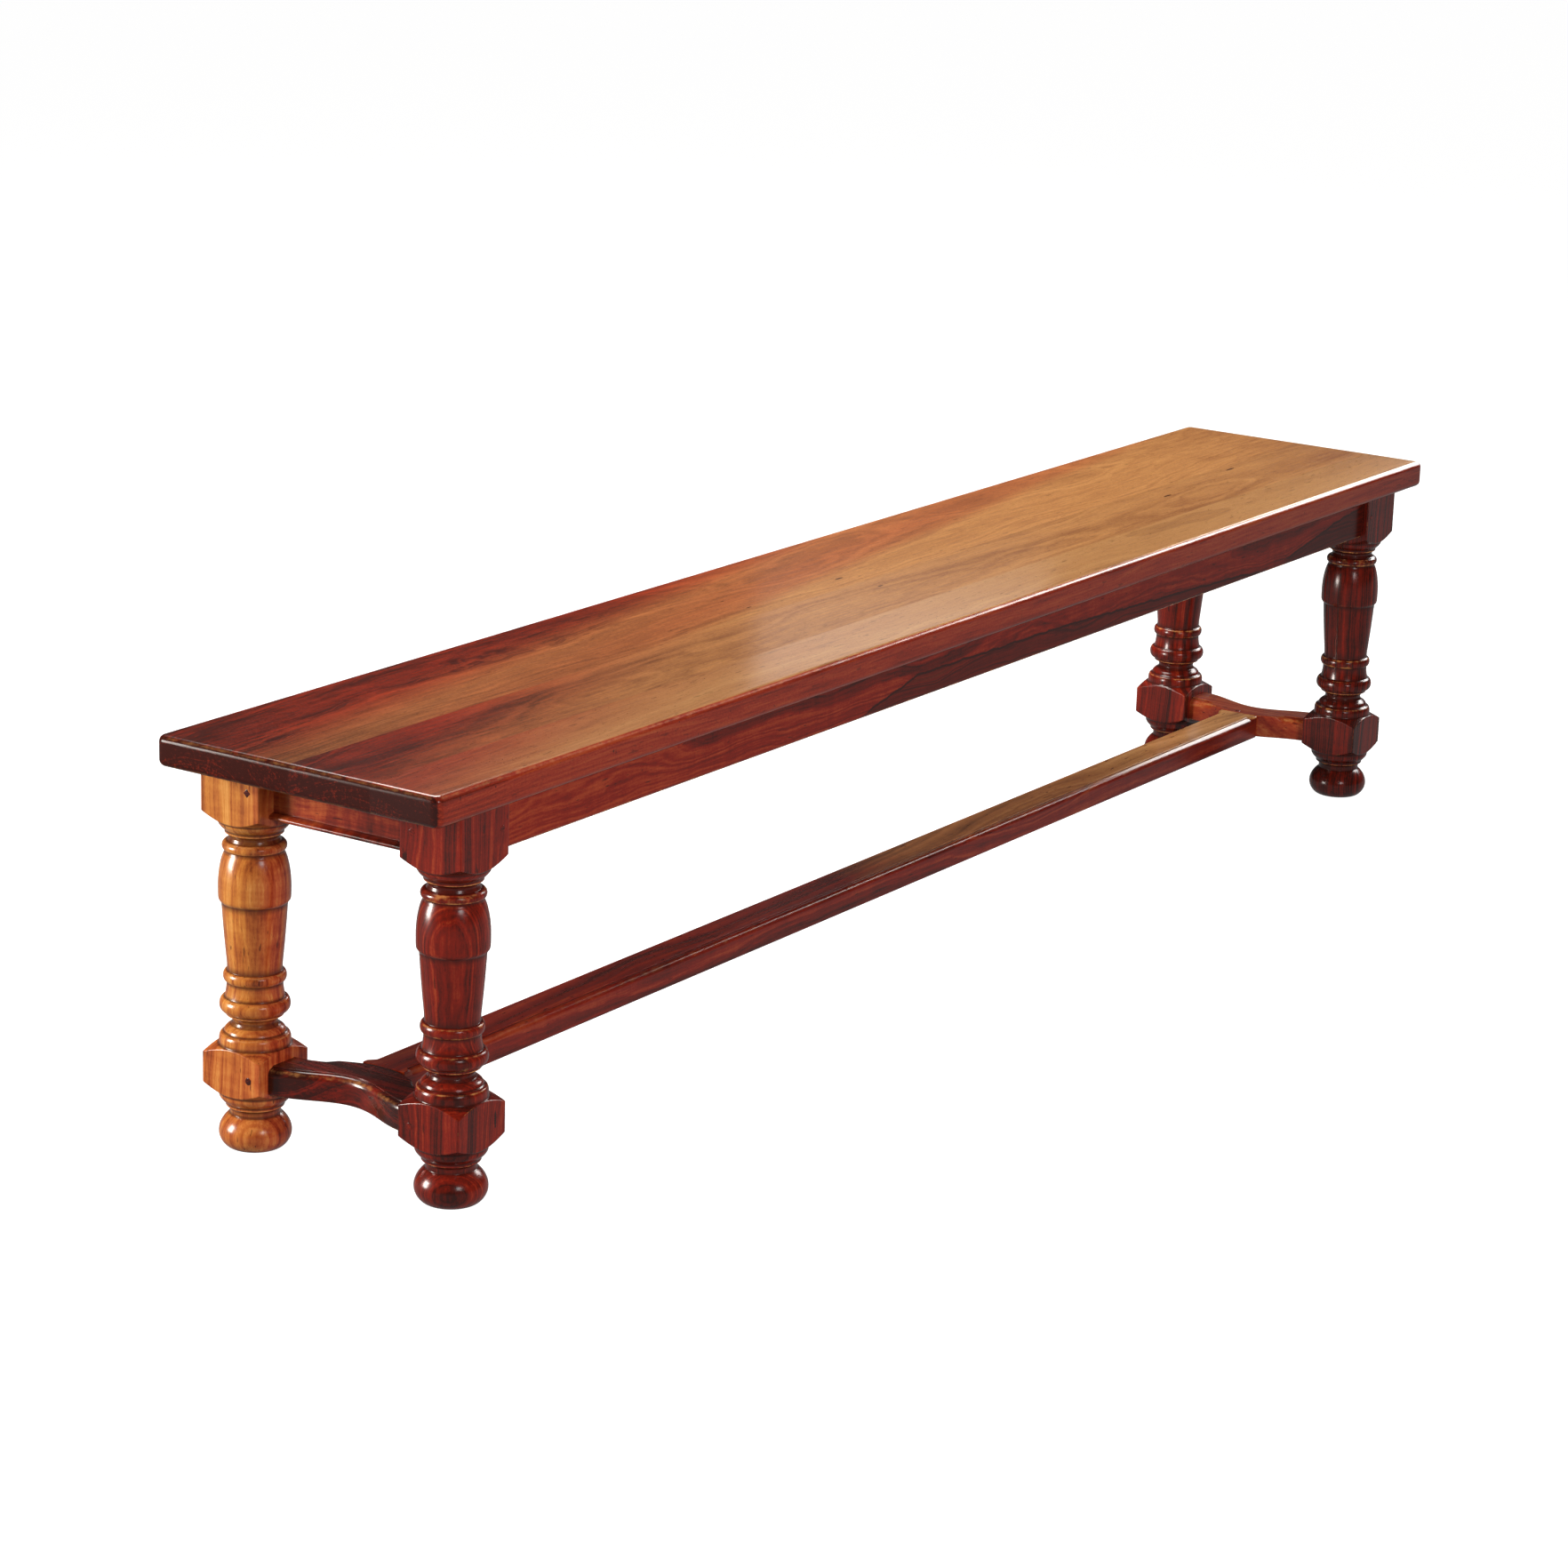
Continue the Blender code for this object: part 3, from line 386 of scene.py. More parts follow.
@dataclass(frozen=True)
class Wood:
    """Stained and varnished hardwood, with rings, streaks, fibres and pores.

    Colours are linear. The pith is given across the grain from the piece's middle, and
    the ends, if any, are the distance from there to the dark end grain.
    """

    grain: Grain
    deep: Colour = (0.035, 0.0060, 0.0040, 1.0)
    body: Colour = (0.200, 0.0120, 0.0050, 1.0)
    warm: Colour = (0.330, 0.0480, 0.0140, 1.0)
    pale: Colour = (0.500, 0.1700, 0.0500, 1.0)
    worn: Colour = (0.560, 0.2300, 0.0700, 1.0)
    pith: tuple[float, float] = (0.020, -0.120)
    rings: float = 75.0
    level: float = 0.50
    streak: float = 0.80
    lines: float = 0.30
    cloud: float = 0.60
    fibre: float = 0.46
    speckle: float = 0.22
    flecks: float = 0.75
    ticks: float = 0.0
    mottle: float = 0.16
    smoke: float = 0.55
    drift: float = 0.0
    rub: float = 0.85
    painted_light: PaintedLight | None = None
    ends: float = 0.0
    end_grain: float = 0.10
    varnish: float = 1.0
    matt: float = 0.36
    seed: float = 1.0
    coat_rough: float = 0.21
    knots: tuple[Knot, ...] = ()
    veins: tuple[Vein, ...] = ()
    figures: tuple[Figure, ...] = ()

    TONES = (0.10, 0.42, 0.66, 0.95)
    SEED_STEP = (7.3, 3.1, 5.7)
    SWAY_REACH = 0.070
    CURL_REACH = 0.006
    SMOKE_LEVELS = (0.46, 0.30)
    END_STAIN = (0.250, 0.10)
    END_DEPTH = 0.002
    PORE_DARK = 0.55
    # How dark the painted shade in hollows is.
    HOLLOW_SHADE = 0.75
    RUB_SHARES = (0.9, 1.6)
    RUB_LEVELS = (0.62, 1.15)
    KNOT_EDGE = (1.1, 0.6)
    FIGURE_EDGE = (1.0, 0.55)
    VEIN_DARKEST = 0.92
    GRIT_HEIGHT = 0.0006

    def material(self, name: str, centre: Point) -> bpy.types.Material:
        """Make the wood for one piece.

        Args:
            name: the material's name.
            centre: the piece's middle, which the pattern is laid round.

        Returns:
            The material.
        """
        graph = Graph(bpy.data.materials.new(name))
        drawn = self._pattern(graph, centre)
        tone = self._tone(drawn)
        colour = graph.ramp(zip(self.TONES, (self.deep, self.body, self.warm, self.pale)), tone)
        # Painted light: a golden painted sheen or lit side, where the finish has one.
        if self.painted_light:
            colour = self._paint_light(drawn, tone, colour)
        colour = graph.mix(self._darkness(drawn), colour, self.deep)
        rubbed = graph.noise(drawn.sample, RUBBED) - 0.5
        wear, patchiness = self.RUB_SHARES
        worn = (graph.attribute(WEAR) * wear + rubbed * patchiness).within(*self.RUB_LEVELS)
        colour = graph.mix(worn * self.rub, colour, self.worn)
        grit = drawn.fibre * 0.6 + drawn.pores * 0.4
        bump = graph.add("ShaderNodeBump", None, {
            "Strength": 0.10, "Distance": self.GRIT_HEIGHT, "Height": grit})
        return graph.finish({
            "Base Color": colour,
            "Roughness": self.matt + (drawn.fibre - 0.5) * 0.30 + worn * 0.10,
            "Specular IOR Level": 0.02,
            "Coat Weight": self.varnish,
            "Coat Roughness": self.coat_rough,
            "Coat IOR": 1.45,
            "Normal": Signal(graph, bump.outputs["Normal"]),
        })

    def _pattern(self, graph: Graph, centre: Point) -> Pattern:
        """Lay the rings, clouds, fibres and pores along the grain.

        Args:
            graph: the material's graph.
            centre: the piece's middle.

        Returns:
            What the wood is drawn from.
        """
        room = graph.object_place()
        laid = graph.add("ShaderNodeMapping", {"vector_type": "TEXTURE"},
                         {"Vector": room, "Location": centre, "Rotation": self.grain.value})
        place = Signal(graph, laid.outputs["Vector"])
        shift = tuple(step * self.seed for step in self.SEED_STEP)
        sample = graph.vector("ADD", place, shift)
        ring = self._ring_distance(graph, place, sample)
        return Pattern(graph, centre, room, place, sample, graph.part(place, "X"), ring,
                       self._across(graph, ring, BANDS), self._across(graph, ring, LINES),
                       *(graph.noise(sample, kind) for kind in (CLOUD, FIBRE, PORES)))

    def _ring_distance(self, graph: Graph, place: Signal, sample: Signal) -> Signal:
        """Find the distance from a pith that wanders, so that the rings wave.

        Args:
            graph: the material's graph.
            place: the point in the piece.
            sample: the point moved by the seed.

        Returns:
            The distance across the grain.
        """
        moved = place
        for kind, reach in ((SWAY, self.SWAY_REACH), (CURL, self.CURL_REACH)):
            stray = graph.noise(sample, kind, "Color")
            moved = graph.vector("MULTIPLY_ADD", stray, (0.0, reach, reach), moved)
        mean = (self.SWAY_REACH + self.CURL_REACH) / 2
        pith = (0.0, self.pith[0] + mean, self.pith[1] + mean)
        around = graph.vector("MULTIPLY", graph.vector("SUBTRACT", moved, pith), (0.0, 1.0, 1.0))
        return graph.vector("LENGTH", around, output="Value")

    def _across(self, graph: Graph, ring: Signal, texture: RingTexture) -> Signal:
        """Sample noise across the growth rings.

        Args:
            graph: the material's graph.
            ring: distance from the pith.
            texture: the noise.

        Returns:
            The noise.
        """
        place = ring * (self.rings * texture.finer) + self.seed * texture.shift
        node = graph.add("ShaderNodeTexNoise", {"noise_dimensions": "1D"},
                         {"W": place, "Scale": 1.0, "Detail": texture.detail,
                          "Roughness": texture.rough})
        return Signal(graph, node.outputs["Fac"])

    def _tone(self, drawn: Pattern) -> Signal:
        """Add up the wood's tone, from deep at 0 to pale at 1.

        Args:
            drawn: what the wood is drawn from.

        Returns:
            The tone.
        """
        graph, sample = drawn.graph, drawn.sample
        tone: Number = self.level
        for layer, share in ((drawn.bands, self.streak), (drawn.lines, self.lines),
                             (drawn.cloud, self.cloud), (drawn.fibre, self.fibre),
                             (graph.noise(sample, RIPPLE), self.mottle),
                             (graph.noise(sample, SPECKLE), self.speckle)):
            tone = tone + (layer - 0.5) * share
        if self.drift:
            tone = tone + drawn.along * self.drift
        if self.ends:
            out = abs(drawn.along)
            reach, stain = self.END_STAIN
            tone = (tone - out.within(self.ends - reach, self.ends) * stain
                    - out.within(self.ends - self.END_DEPTH, self.ends) * self.end_grain)
        return tone

    def _paint_light(self, drawn: Pattern, tone: Signal, colour: Signal) -> Signal:
        """Paint light on one side: turn it golden by the share given along the piece.

        Args:
            drawn: what the wood is drawn from.
            tone: the wood's tone.
            colour: its colour before the light is painted on.

        Returns:
            The colour.
        """
        painted_light, graph = self.painted_light, drawn.graph
        offset = graph.vector("SUBTRACT", drawn.room, drawn.centre)
        along = drawn.along + (drawn.cloud - 0.5) * painted_light.ragged
        if painted_light.lean:
            along = along - graph.part(offset, "Y") * painted_light.lean
        by_length = graph.ramp((((x + painted_light.reach) / (2 * painted_light.reach), grey(share))
                                for x, share in painted_light.shares),
                               (along + painted_light.reach) * (0.5 / painted_light.reach))
        side = graph.vector("DOT_PRODUCT", offset, painted_light.way, output="Value")
        gold = graph.ramp(zip(self.TONES, (painted_light.deep, painted_light.body, painted_light.warm, painted_light.pale)), tone)
        return graph.mix(by_length * side.within(painted_light.start, painted_light.full), colour, gold)

    def _darkness(self, drawn: Pattern) -> Signal:
        """Gather the smoky bands, pores, flecks, veins, figures, knots and the painted shade in
        hollows.

        Args:
            drawn: what the wood is drawn from.

        Returns:
            How far the wood is darkened, from 0 to 1.
        """
        graph, sample = drawn.graph, drawn.sample
        smoke = (drawn.cloud * 0.55 + drawn.bands * 0.45).within(*self.SMOKE_LEVELS)
        marks = [drawn.pores.within(*PORES.levels) * self.PORE_DARK,
                 graph.marks(sample, FLECKS) * self.flecks,
                 *(self._vein(drawn, vein) for vein in self.veins),
                 # Painted shade in the hollows, creases and quirks that the mesh marks.
                 graph.attribute(HOLLOW) * self.HOLLOW_SHADE]
        if self.ticks:
            marks.append(graph.marks(sample, TICKS) * self.ticks)
        if self.figures:
            marks.append(self._figured(drawn))
        if self.knots:
            ragged = graph.noise(sample, RAGGED) - 0.5
            marks += [(self._apart(graph, drawn.room, knot) + ragged).within(*self.KNOT_EDGE)
                      for knot in self.knots]
        dark = smoke * self.smoke
        for mark in marks:
            dark = dark.or_larger(mark)
        return dark

    @staticmethod
    def _apart(graph: Graph, point: Signal, spot: Knot | Figure) -> Signal:
        """Measure how far a point lies from a spot, counted in the spot's sizes.

        Args:
            graph: the material's graph.
            point: the point, in the frame of the spot's place.
            spot: the knot or figure.

        Returns:
            The distance: 1 on the spot's outline.
        """
        away = graph.vector("SUBTRACT", point, spot.place)
        scaled = graph.vector("MULTIPLY", away, tuple(1.0 / size for size in spot.size))
        return graph.vector("LENGTH", scaled, output="Value")

    @staticmethod
    def _vein(drawn: Pattern, vein: Vein) -> Signal:
        """Draw one heartwood line and the dark wood below it.

        Args:
            drawn: what the wood is drawn from.
            vein: the line.

        Returns:
            How dark they are.
        """
        graph, along, reach = drawn.graph, drawn.along, vein.reach
        first, last = vein.points[0][0], vein.points[-1][0]
        path = graph.ramp((((x - first) / (last - first), grey((z + reach) / (2 * reach)))
                           for x, z in vein.points),
                          (along - first) * (1 / (last - first)))
        shiver = (graph.noise(drawn.sample, SHIVER) - 0.5) * vein.shiver
        over = graph.part(drawn.place, "Z") - (path * (2 * reach) - reach + shiver)
        line = abs(over).within(vein.width, vein.width * 0.3)
        under = over.within(0.0, -0.002) * (vein.below + (drawn.lines - 0.5) * 1.8)
        ends = along.within(first, first + 0.03) * along.within(last, last - 0.05)
        return line.or_larger(graph.math("MINIMUM", under, Wood.VEIN_DARKEST)) * ends

    def _figured(self, drawn: Pattern) -> Signal:
        """Draw the black lines in the figured regions.

        Args:
            drawn: what the wood is drawn from.

        Returns:
            How dark they are.
        """
        graph = drawn.graph
        shown: Number = 0.0
        for figure in self.figures:
            inside = self._apart(graph, drawn.place, figure).within(*self.FIGURE_EDGE)
            shown = (inside * figure.strength).or_larger(shown)
        line = abs(self._across(graph, drawn.ring, BLACK_LINES) - 0.52).within(0.060, 0.020)
        return line * shown * graph.marks(drawn.sample, PATCHES)


@dataclass(frozen=True)
class Steel:
    """Plain screw steel, a little dulled."""

    colour: Colour = (0.42, 0.40, 0.37, 1.0)
    dull: Colour = (0.16, 0.13, 0.11, 1.0)

    def material(self, name: str) -> bpy.types.Material:
        """Make the steel with fine scratches.

        Args:
            name: the material's name.

        Returns:
            The material.
        """
        graph = Graph(bpy.data.materials.new(name))
        place = graph.object_place()
        colour = graph.mix(graph.marks(place, TARNISH), self.colour, self.dull)
        return graph.finish({"Base Color": colour, "Metallic": 1.0,
                             "Roughness": 0.30 + graph.noise(place, SCRATCHES) * 0.25})


@dataclass(frozen=True)
class Mark:
    """One point of a section: its place, how worn the wood is there, and how much painted shade it
    gets as a hollow.
    """

    across: float
    z: float
    wear: float = 0.0
    hollow: float = 0.0


class Bench:
    """Takes finished meshes into the scene."""

    SHARP = math.radians(50)

    def place(self, name: str, bm: bmesh.types.BMesh, material: bpy.types.Material,
              slot: str, *nodes: str) -> None:
        """Turn a bmesh into a piece of the bench.

        Args:
            name: the piece's name.
            bm: its mesh, in place, which is freed.
            material: its finish.
            slot: a material slot's name, which is not used.
            nodes: the CAD nodes that it stands for.
        """
        mesh = bpy.data.meshes.new(name)
        bm.to_mesh(mesh)
        bm.free()
        mesh.shade_smooth()
        mesh.set_sharp_from_angle(angle=self.SHARP)
        mesh.materials.append(material)
        made = bpy.data.objects.new(name, mesh)
        flat = made.modifiers.new("flat faces", "WEIGHTED_NORMAL")
        flat.keep_sharp = True
        bpy.context.scene.collection.objects.link(made)
        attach(made, "root")
        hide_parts(*nodes)
        LOG.info("%s: %d faces", name, len(mesh.polygons))


def middle_of(node: str) -> Vector:
    """Middle of a CAD node's box."""
    low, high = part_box(node)
    return (low + high) / 2


def wood_layers(bm: bmesh.types.BMesh) -> tuple[object, object]:
    """Give a mesh its layers for wear and for the painted shade of hollows, both at 0."""
    numbers = bm.verts.layers.float
    return numbers.new(WEAR), numbers.new(HOLLOW)


def sweep(stations: Sequence[float], section_at: Callable[[float], Sequence[Mark]],
          along: Grain, bend: Callable[[float], float] | None = None) -> bmesh.types.BMesh:
    """Skin a bar through its sections, close its ends and mark its wear and its painted shade.

    Args:
        stations: places along the bar, in rising order.
        section_at: lists the section's marks at a station, always as many.
        along: the bar's direction, ALONG or ACROSS.
        bend: sideways shift at a station, if the bar is bowed.

    Returns:
        The bar's mesh.
    """
    count = len(section_at(stations[0]))
    bm = bmesh.new()
    wear, hollow = wood_layers(bm)
    bmesh.ops.create_grid(bm, x_segments=count, y_segments=len(stations) - 1, size=1.0)
    sections = [section_at(station) for station in stations]
    for vert in bm.verts:
        i = round((vert.co.x + 1) / 2 * count)
        j = round((vert.co.y + 1) / 2 * (len(stations) - 1))
        mark = sections[j][i % count]
        across = mark.across + (bend(stations[j]) if bend else 0.0)
        if along is Grain.ALONG:
            vert.co = (stations[j], across, mark.z)
        else:
            vert.co = (across, stations[j], mark.z)
        vert[wear] = mark.wear
        vert[hollow] = mark.hollow
    bmesh.ops.remove_doubles(bm, verts=bm.verts, dist=WELD)
    bmesh.ops.holes_fill(bm, edges=[edge for edge in bm.edges if edge.is_boundary], sides=0)
    bmesh.ops.recalc_face_normals(bm, faces=bm.faces)
    return bm


def spread(low: float, high: float, pitch: float) -> list[float]:
    """Even places from low to high, about a pitch apart."""
    count = max(1, round((high - low) / pitch))
    return [low + (high - low) * i / count for i in range(count + 1)]


def rounded(corner: tuple[float, float], radius: float, start: float, steps: int,
            wear: float = 1.0) -> list[Mark]:
    """Quarter round at a convex corner of a section.

    Args:
        corner: centre of the round.
        radius: its radius.
        start: angle of its first point; it turns clockwise from there.
        steps: number of straight steps.
        wear: how worn its middle is.

    Returns:
        The marks of the round.
    """
    made = []
    for i in range(steps + 1):
        turn = start - i / steps * math.pi / 2
        rub = wear * math.sin(i / steps * math.pi)
        made.append(Mark(corner[0] + radius * math.cos(turn),
                         corner[1] + radius * math.sin(turn), rub))
    return made


class Outline:
    """Half outline of a spindle, drawn upwards as (radius, z) points."""

    LINE_STEP = 0.0005
    CURVE_STEP = 0.0004
    BULGE_STEP = 0.0008

    def __init__(self, radius: float) -> None:
        """Start on the floor at a radius."""
        self.points: list[tuple[float, float]] = [(radius, 0.0)]

    def line(self, height: float, radius: float) -> None:
        """Run straight to a radius.

        Args:
            height: how far it rises.
            radius: radius at its end.
        """
        start_radius, start_z = self.points[-1]
        steps = max(1, round(math.hypot(height, radius - start_radius) / self.LINE_STEP))
        for i in range(1, steps + 1):
            self.points.append((start_radius + (radius - start_radius) * i / steps,
                                start_z + height * i / steps))

    def curve(self, height: float, radius: float, shape: Callable[[float], float]) -> None:
        """Run to a radius along a curve of any shape.

        Args:
            height: how far it rises.
            radius: radius at its end.
            shape: share of the way to that radius, at a share of the height.
        """
        start_radius, start_z = self.points[-1]
        steps = max(4, round(height / self.CURVE_STEP))
        for i in range(1, steps + 1):
            share = 0.5 - 0.5 * math.cos(i / steps * math.pi)
            self.points.append((start_radius + (radius - start_radius) * shape(share),
                                start_z + height * share))

    def cove(self, height: float, radius: float) -> None:
        """Hollow that opens towards the top."""
        self.curve(height, radius, lambda t: 1 - math.sqrt(1 - t * t))

    def ovolo(self, height: float, radius: float) -> None:
        """Round that steepens towards the top."""
        self.curve(height, radius, lambda t: math.sin(t * math.pi / 2))

    def bulge(self, height: float, widest: float, top: float, share: float,
              rise: float = 0.5, fall: float = 0.5) -> None:
        """Swell out to a widest radius at a share of the height, and back in.

        Args:
            height: whole height.
            widest: radius at the widest place.
            top: radius at the top.
            share: where the widest place is.
            rise: power of the lower curve; a half gives an ellipse.
            fall: power of the upper curve.
        """
        start_radius, start_z = self.points[-1]
        crest = height * share
        steps = max(6, round(height / self.BULGE_STEP))
        for i in range(1, steps + 1):
            u = 1 - math.sin(i / steps * math.pi / 2)
            self.points.append((start_radius + (widest - start_radius) * (1 - u * u) ** rise,
                                start_z + crest * (1 - u)))
        for i in range(1, steps + 1):
            u = 1 - math.cos(i / steps * math.pi / 2)
            self.points.append((top + (widest - top) * max(0.0, 1 - u * u) ** fall,
                                start_z + crest + (height - crest) * u))


def evened(points: Sequence[tuple[float, float]], pitch: float) -> list[tuple[float, float]]:
    """Place points evenly along an outline.

    Args:
        points: the outline.
        pitch: distance between the new points.

    Returns:
        The new points, with both old ends.
    """
    out = [points[0]]
    spare = 0.0
    for (r0, z0), (r1, z1) in zip(points, points[1:]):
        length = math.hypot(r1 - r0, z1 - z0)
        run = pitch - spare
        while length > 0 and run <= length:
            out.append((r0 + (r1 - r0) * run / length, z0 + (z1 - z0) * run / length))
            run += pitch
        spare = length - (run - pitch)
    out.append(points[-1])
    return out


def softened(points: Sequence[tuple[float, float]], passes: int) -> list[tuple[float, float]]:
    """Ease an outline's corners, as sanding and varnish do.

    Args:
        points: the outline, with even steps.
        passes: how many times each point is drawn towards its neighbours.

    Returns:
        The softer outline.
    """
    row = list(points)
    for _ in range(passes):
        inner = [((a[0] + 2 * b[0] + c[0]) / 4, (a[1] + 2 * b[1] + c[1]) / 4)
                 for a, b, c in zip(row, row[1:], row[2:])]
        row = [row[0], *inner, row[-1]]
    return row


def thinned(points: Sequence[tuple[float, float]], slack: float,
            longest: float) -> list[int]:
    """Choose the points that an outline needs.

    Args:
        points: a dense outline.
        slack: how far a left-out point may lie from the chosen line.
        longest: longest step between chosen points.

    Returns:
        The chosen indices, in order.
    """
    chosen = [0]
    while chosen[-1] < len(points) - 1:
        start = chosen[-1]
        a = Vector(points[start])
        end = start + 1
        while end + 1 < len(points):
            b = Vector(points[end + 1])
            if (b - a).length > longest:
                break
            way = (b - a).normalized()
            worst = max(abs((Vector(points[k]) - a).cross(way)) for k in range(start + 1, end + 1))
            if worst > slack:
                break
            end += 1
        chosen.append(end)
    return chosen


def standing_out(points: Sequence[tuple[float, float]], index: int, reach: int) -> float:
    """Measure how far a point of an outline stands out.

    Args:
        points: the outline.
        index: number of the point.
        reach: how many points away its neighbours lie.

    Returns:
        The distance from the line between the neighbours, below 0 in a hollow.
    """
    low, high = max(index - reach, 0), min(index + reach, len(points) - 1)
    a, b = Vector(points[low]), Vector(points[high])
    if (b - a).length < WELD:
        return 0.0
    return (b - a).normalized().cross(Vector(points[index]) - a) * -1.0


@dataclass
class Leg:
    """A leg turned from one square length, with its blocks left square."""

    square: float = 0.077
    arris: float = 0.0016
    height: float = 0.417
    cone_radius: float = 0.0376
    under_slope: float = 0.63
    over_slope: float = 0.54
    lower_block: float = 0.0520
    upper_block: float = 0.0655
    sides: int = 200
    crowding: float = 0.68
    ease: float = 0.0012
    pitch: float = 0.00025
    softening: int = 6
    slack: float = 0.000018
    longest: float = 0.006
    relief_reach: float = 0.0022
    worn_relief: float = 0.0006
    hollow_relief: float = 0.0005
    block_gap: float = 0.002
    arris_wear: float = 0.0032
    shoulder_wear: float = 0.0018
    margin: float = 0.001
    shoulder_skip: int = 3

    CORNERS = 4
    UNEVENNESS = 90.0

    def outline(self) -> tuple[list[tuple[float, float]], list[tuple[float, float]]]:
        """Draw the whole turned outline.

        Returns:
            The points, and the spans of z where a block's corners are turned away.
        """
        corner = self.square / math.sqrt(2) + self.block_gap
        over = corner - self.cone_radius
        # Bun foot, then a cove and an ovolo that open to the lower block.
        leg = Outline(0.0274)
        leg.bulge(0.0365, 0.0377, 0.0263, 0.45, rise=0.75, fall=0.90)
        leg.line(0.0030, 0.0263)
        leg.cove(0.0055, 0.0305)
        leg.line(0.0030, 0.0305)
        leg.ovolo(0.0100, 0.0375)
        leg.line(0.0024, self.cone_radius)
        # Lower block, between its two turned shoulders.
        cones = [self._cone(leg, over * self.under_slope, corner)]
        leg.line(self.lower_block - over * (self.under_slope + self.over_slope), corner)
        cones.append(self._cone(leg, over * self.over_slope, self.cone_radius))
        # Torus, two hollows and a second torus.
        leg.bulge(0.0120, 0.0371, 0.0335, 0.40)
        leg.line(0.0015, 0.0318)
        leg.curve(0.0070, 0.0250, lambda t: t * t)
        leg.line(0.0030, 0.0233)
        leg.cove(0.0075, 0.0300)
        leg.line(0.0030, 0.0300)
        leg.bulge(0.0165, 0.0366, 0.0312, 0.50)
        # Falling curve, and the small ring under the shaft.
        leg.curve(0.0165, 0.0290, lambda t: 1 - (1 - t) ** 2)
        leg.bulge(0.0120, 0.0327, 0.0285, 0.50)
        # Shaft, which takes the height that all other members leave.
        vase = 0.0530
        top_members = 0.0030 + 0.0100 + 0.0035 + 0.0050 + 0.0030 + 0.0100
        shaft = self.height - leg.points[-1][1] - vase - top_members - self.upper_block
        leg.line(0.0070, 0.0286)
        leg.curve(shaft - 0.0070, 0.0340, lambda t: t + 0.06 * math.sin(t * math.pi))
        # Vase.
        leg.ovolo(0.0050, 0.0371)
        leg.bulge(0.0480, 0.0374, 0.0310, 0.25, rise=0.5, fall=0.80)
        # Small ring, then a cove and an ovolo that open to the upper block.
        leg.line(0.0030, 0.0303)
        leg.bulge(0.0100, 0.0333, 0.0276, 0.45)
        leg.line(0.0035, 0.0262)
        leg.cove(0.0050, 0.0304)
        leg.line(0.0030, 0.0304)
        leg.ovolo(0.0100, 0.0375)
        cones.append(self._cone(leg, over * self.under_slope, corner))
        leg.points.append((corner, self.height))
        return leg.points, cones

    @staticmethod
    def _cone(leg: Outline, height: float, radius: float) -> tuple[float, float]:
        """Add a block's sloping shoulder.

        Args:
            leg: the outline.
            height: how far the shoulder rises.
            radius: radius at its end.

        Returns:
            Its span of z.
        """
        start = leg.points[-1][1]
        leg.line(height, radius)
        return start, leg.points[-1][1]

    def rows(self) -> list[tuple[float, float, float]]:
        """Choose the mesh rows.

        Returns:
            Each row's radius, its z and how far it stands out.
        """
        points, cones = self.outline()
        dense = softened(evened(points, self.pitch), self.softening)
        reach = round(self.relief_reach / self.pitch)
        kept = set(thinned(dense, self.slack, self.longest))
        for low, high in cones:
            inside = [i for i, (_, z) in enumerate(dense)
                      if low - self.margin < z < high + self.margin]
            kept.update(inside[::self.shoulder_skip])
        return [(*dense[i], standing_out(dense, i, reach)) for i in sorted(kept)]

    def side_reach(self, cosine: float, sine: float) -> float:
        """Measure from the leg's axis to the blank's surface.

        Args:
            cosine: cosine of the direction's angle.
            sine: its sine.

        Returns:
            The distance.
        """
        high, low = max(abs(cosine), abs(sine)), min(abs(cosine), abs(sine))
        half = self.square / 2
        core = half - self.arris
        flat = half / high
        if flat * low <= core:
            return flat
        return core * (high + low) + math.sqrt(
            max(0.0, self.arris ** 2 - (core * (high - low)) ** 2))

    def mesh(self) -> bmesh.types.BMesh:
        """Turn the outline, square the blocks, and mark wear and the painted shade of hollows.

        Returns:
            The mesh, with its axis on the Z axis.
        """
        rows = self.rows()
        bm = bmesh.new()
        wear, hollow = wood_layers(bm)
        drawn = []
        for radius, z, relief in rows:
            vert = bm.verts.new((radius, 0.0, z))
            vert[wear] = min(1.0, max(0.0, relief / self.worn_relief))
            # Painted shade in the outline's hollows.
            vert[hollow] = min(1.0, max(0.0, -relief / self.hollow_relief))
            drawn.append(vert)
        edges = [bm.edges.new(pair) for pair in zip(drawn, drawn[1:])]
        bmesh.ops.spin(bm, geom=[*drawn, *edges], axis=(0.0, 0.0, 1.0), cent=(0.0, 0.0, 0.0),
                       angle=2 * math.pi, steps=self.sides, use_merge=True)
        for vert in bm.verts:
            self._square_off(vert, wear)
        bmesh.ops.holes_fill(bm, edges=[e for e in bm.edges if e.is_boundary], sides=0)
        bmesh.ops.recalc_face_normals(bm, faces=bm.faces)
        return bm

    def _square_off(self, vert: bmesh.types.BMVert, wear: object) -> None:
        """Crowd a vertex towards the corners and hold it inside the blank.

        Args:
            vert: the vertex.
            wear: the mesh's layer of wear, which is set on the blocks.
        """
        radius = math.hypot(vert.co.x, vert.co.y)
        turn = math.atan2(vert.co.y, vert.co.x)
        turn += self.crowding / self.CORNERS * math.sin(self.CORNERS * turn)
        cosine, sine = math.cos(turn), math.sin(turn)
        limit = self.side_reach(cosine, sine)
        gap = radius - limit
        blend = max(self.ease - abs(gap), 0.0) / self.ease
        reach = min(radius, limit) - blend * blend * self.ease / 4
        vert.co.x, vert.co.y = reach * cosine, reach * sine
        if gap > -self.block_gap:
            across = self.square / 2 - min(abs(vert.co.x), abs(vert.co.y))
            near = max(1 - across / self.arris_wear, 1 - abs(gap) / self.shoulder_wear, 0.0)
            uneven = 0.75 + 0.5 * noise.noise(vert.co * self.UNEVENNESS)
            vert[wear] = min(1.0, near * uneven)


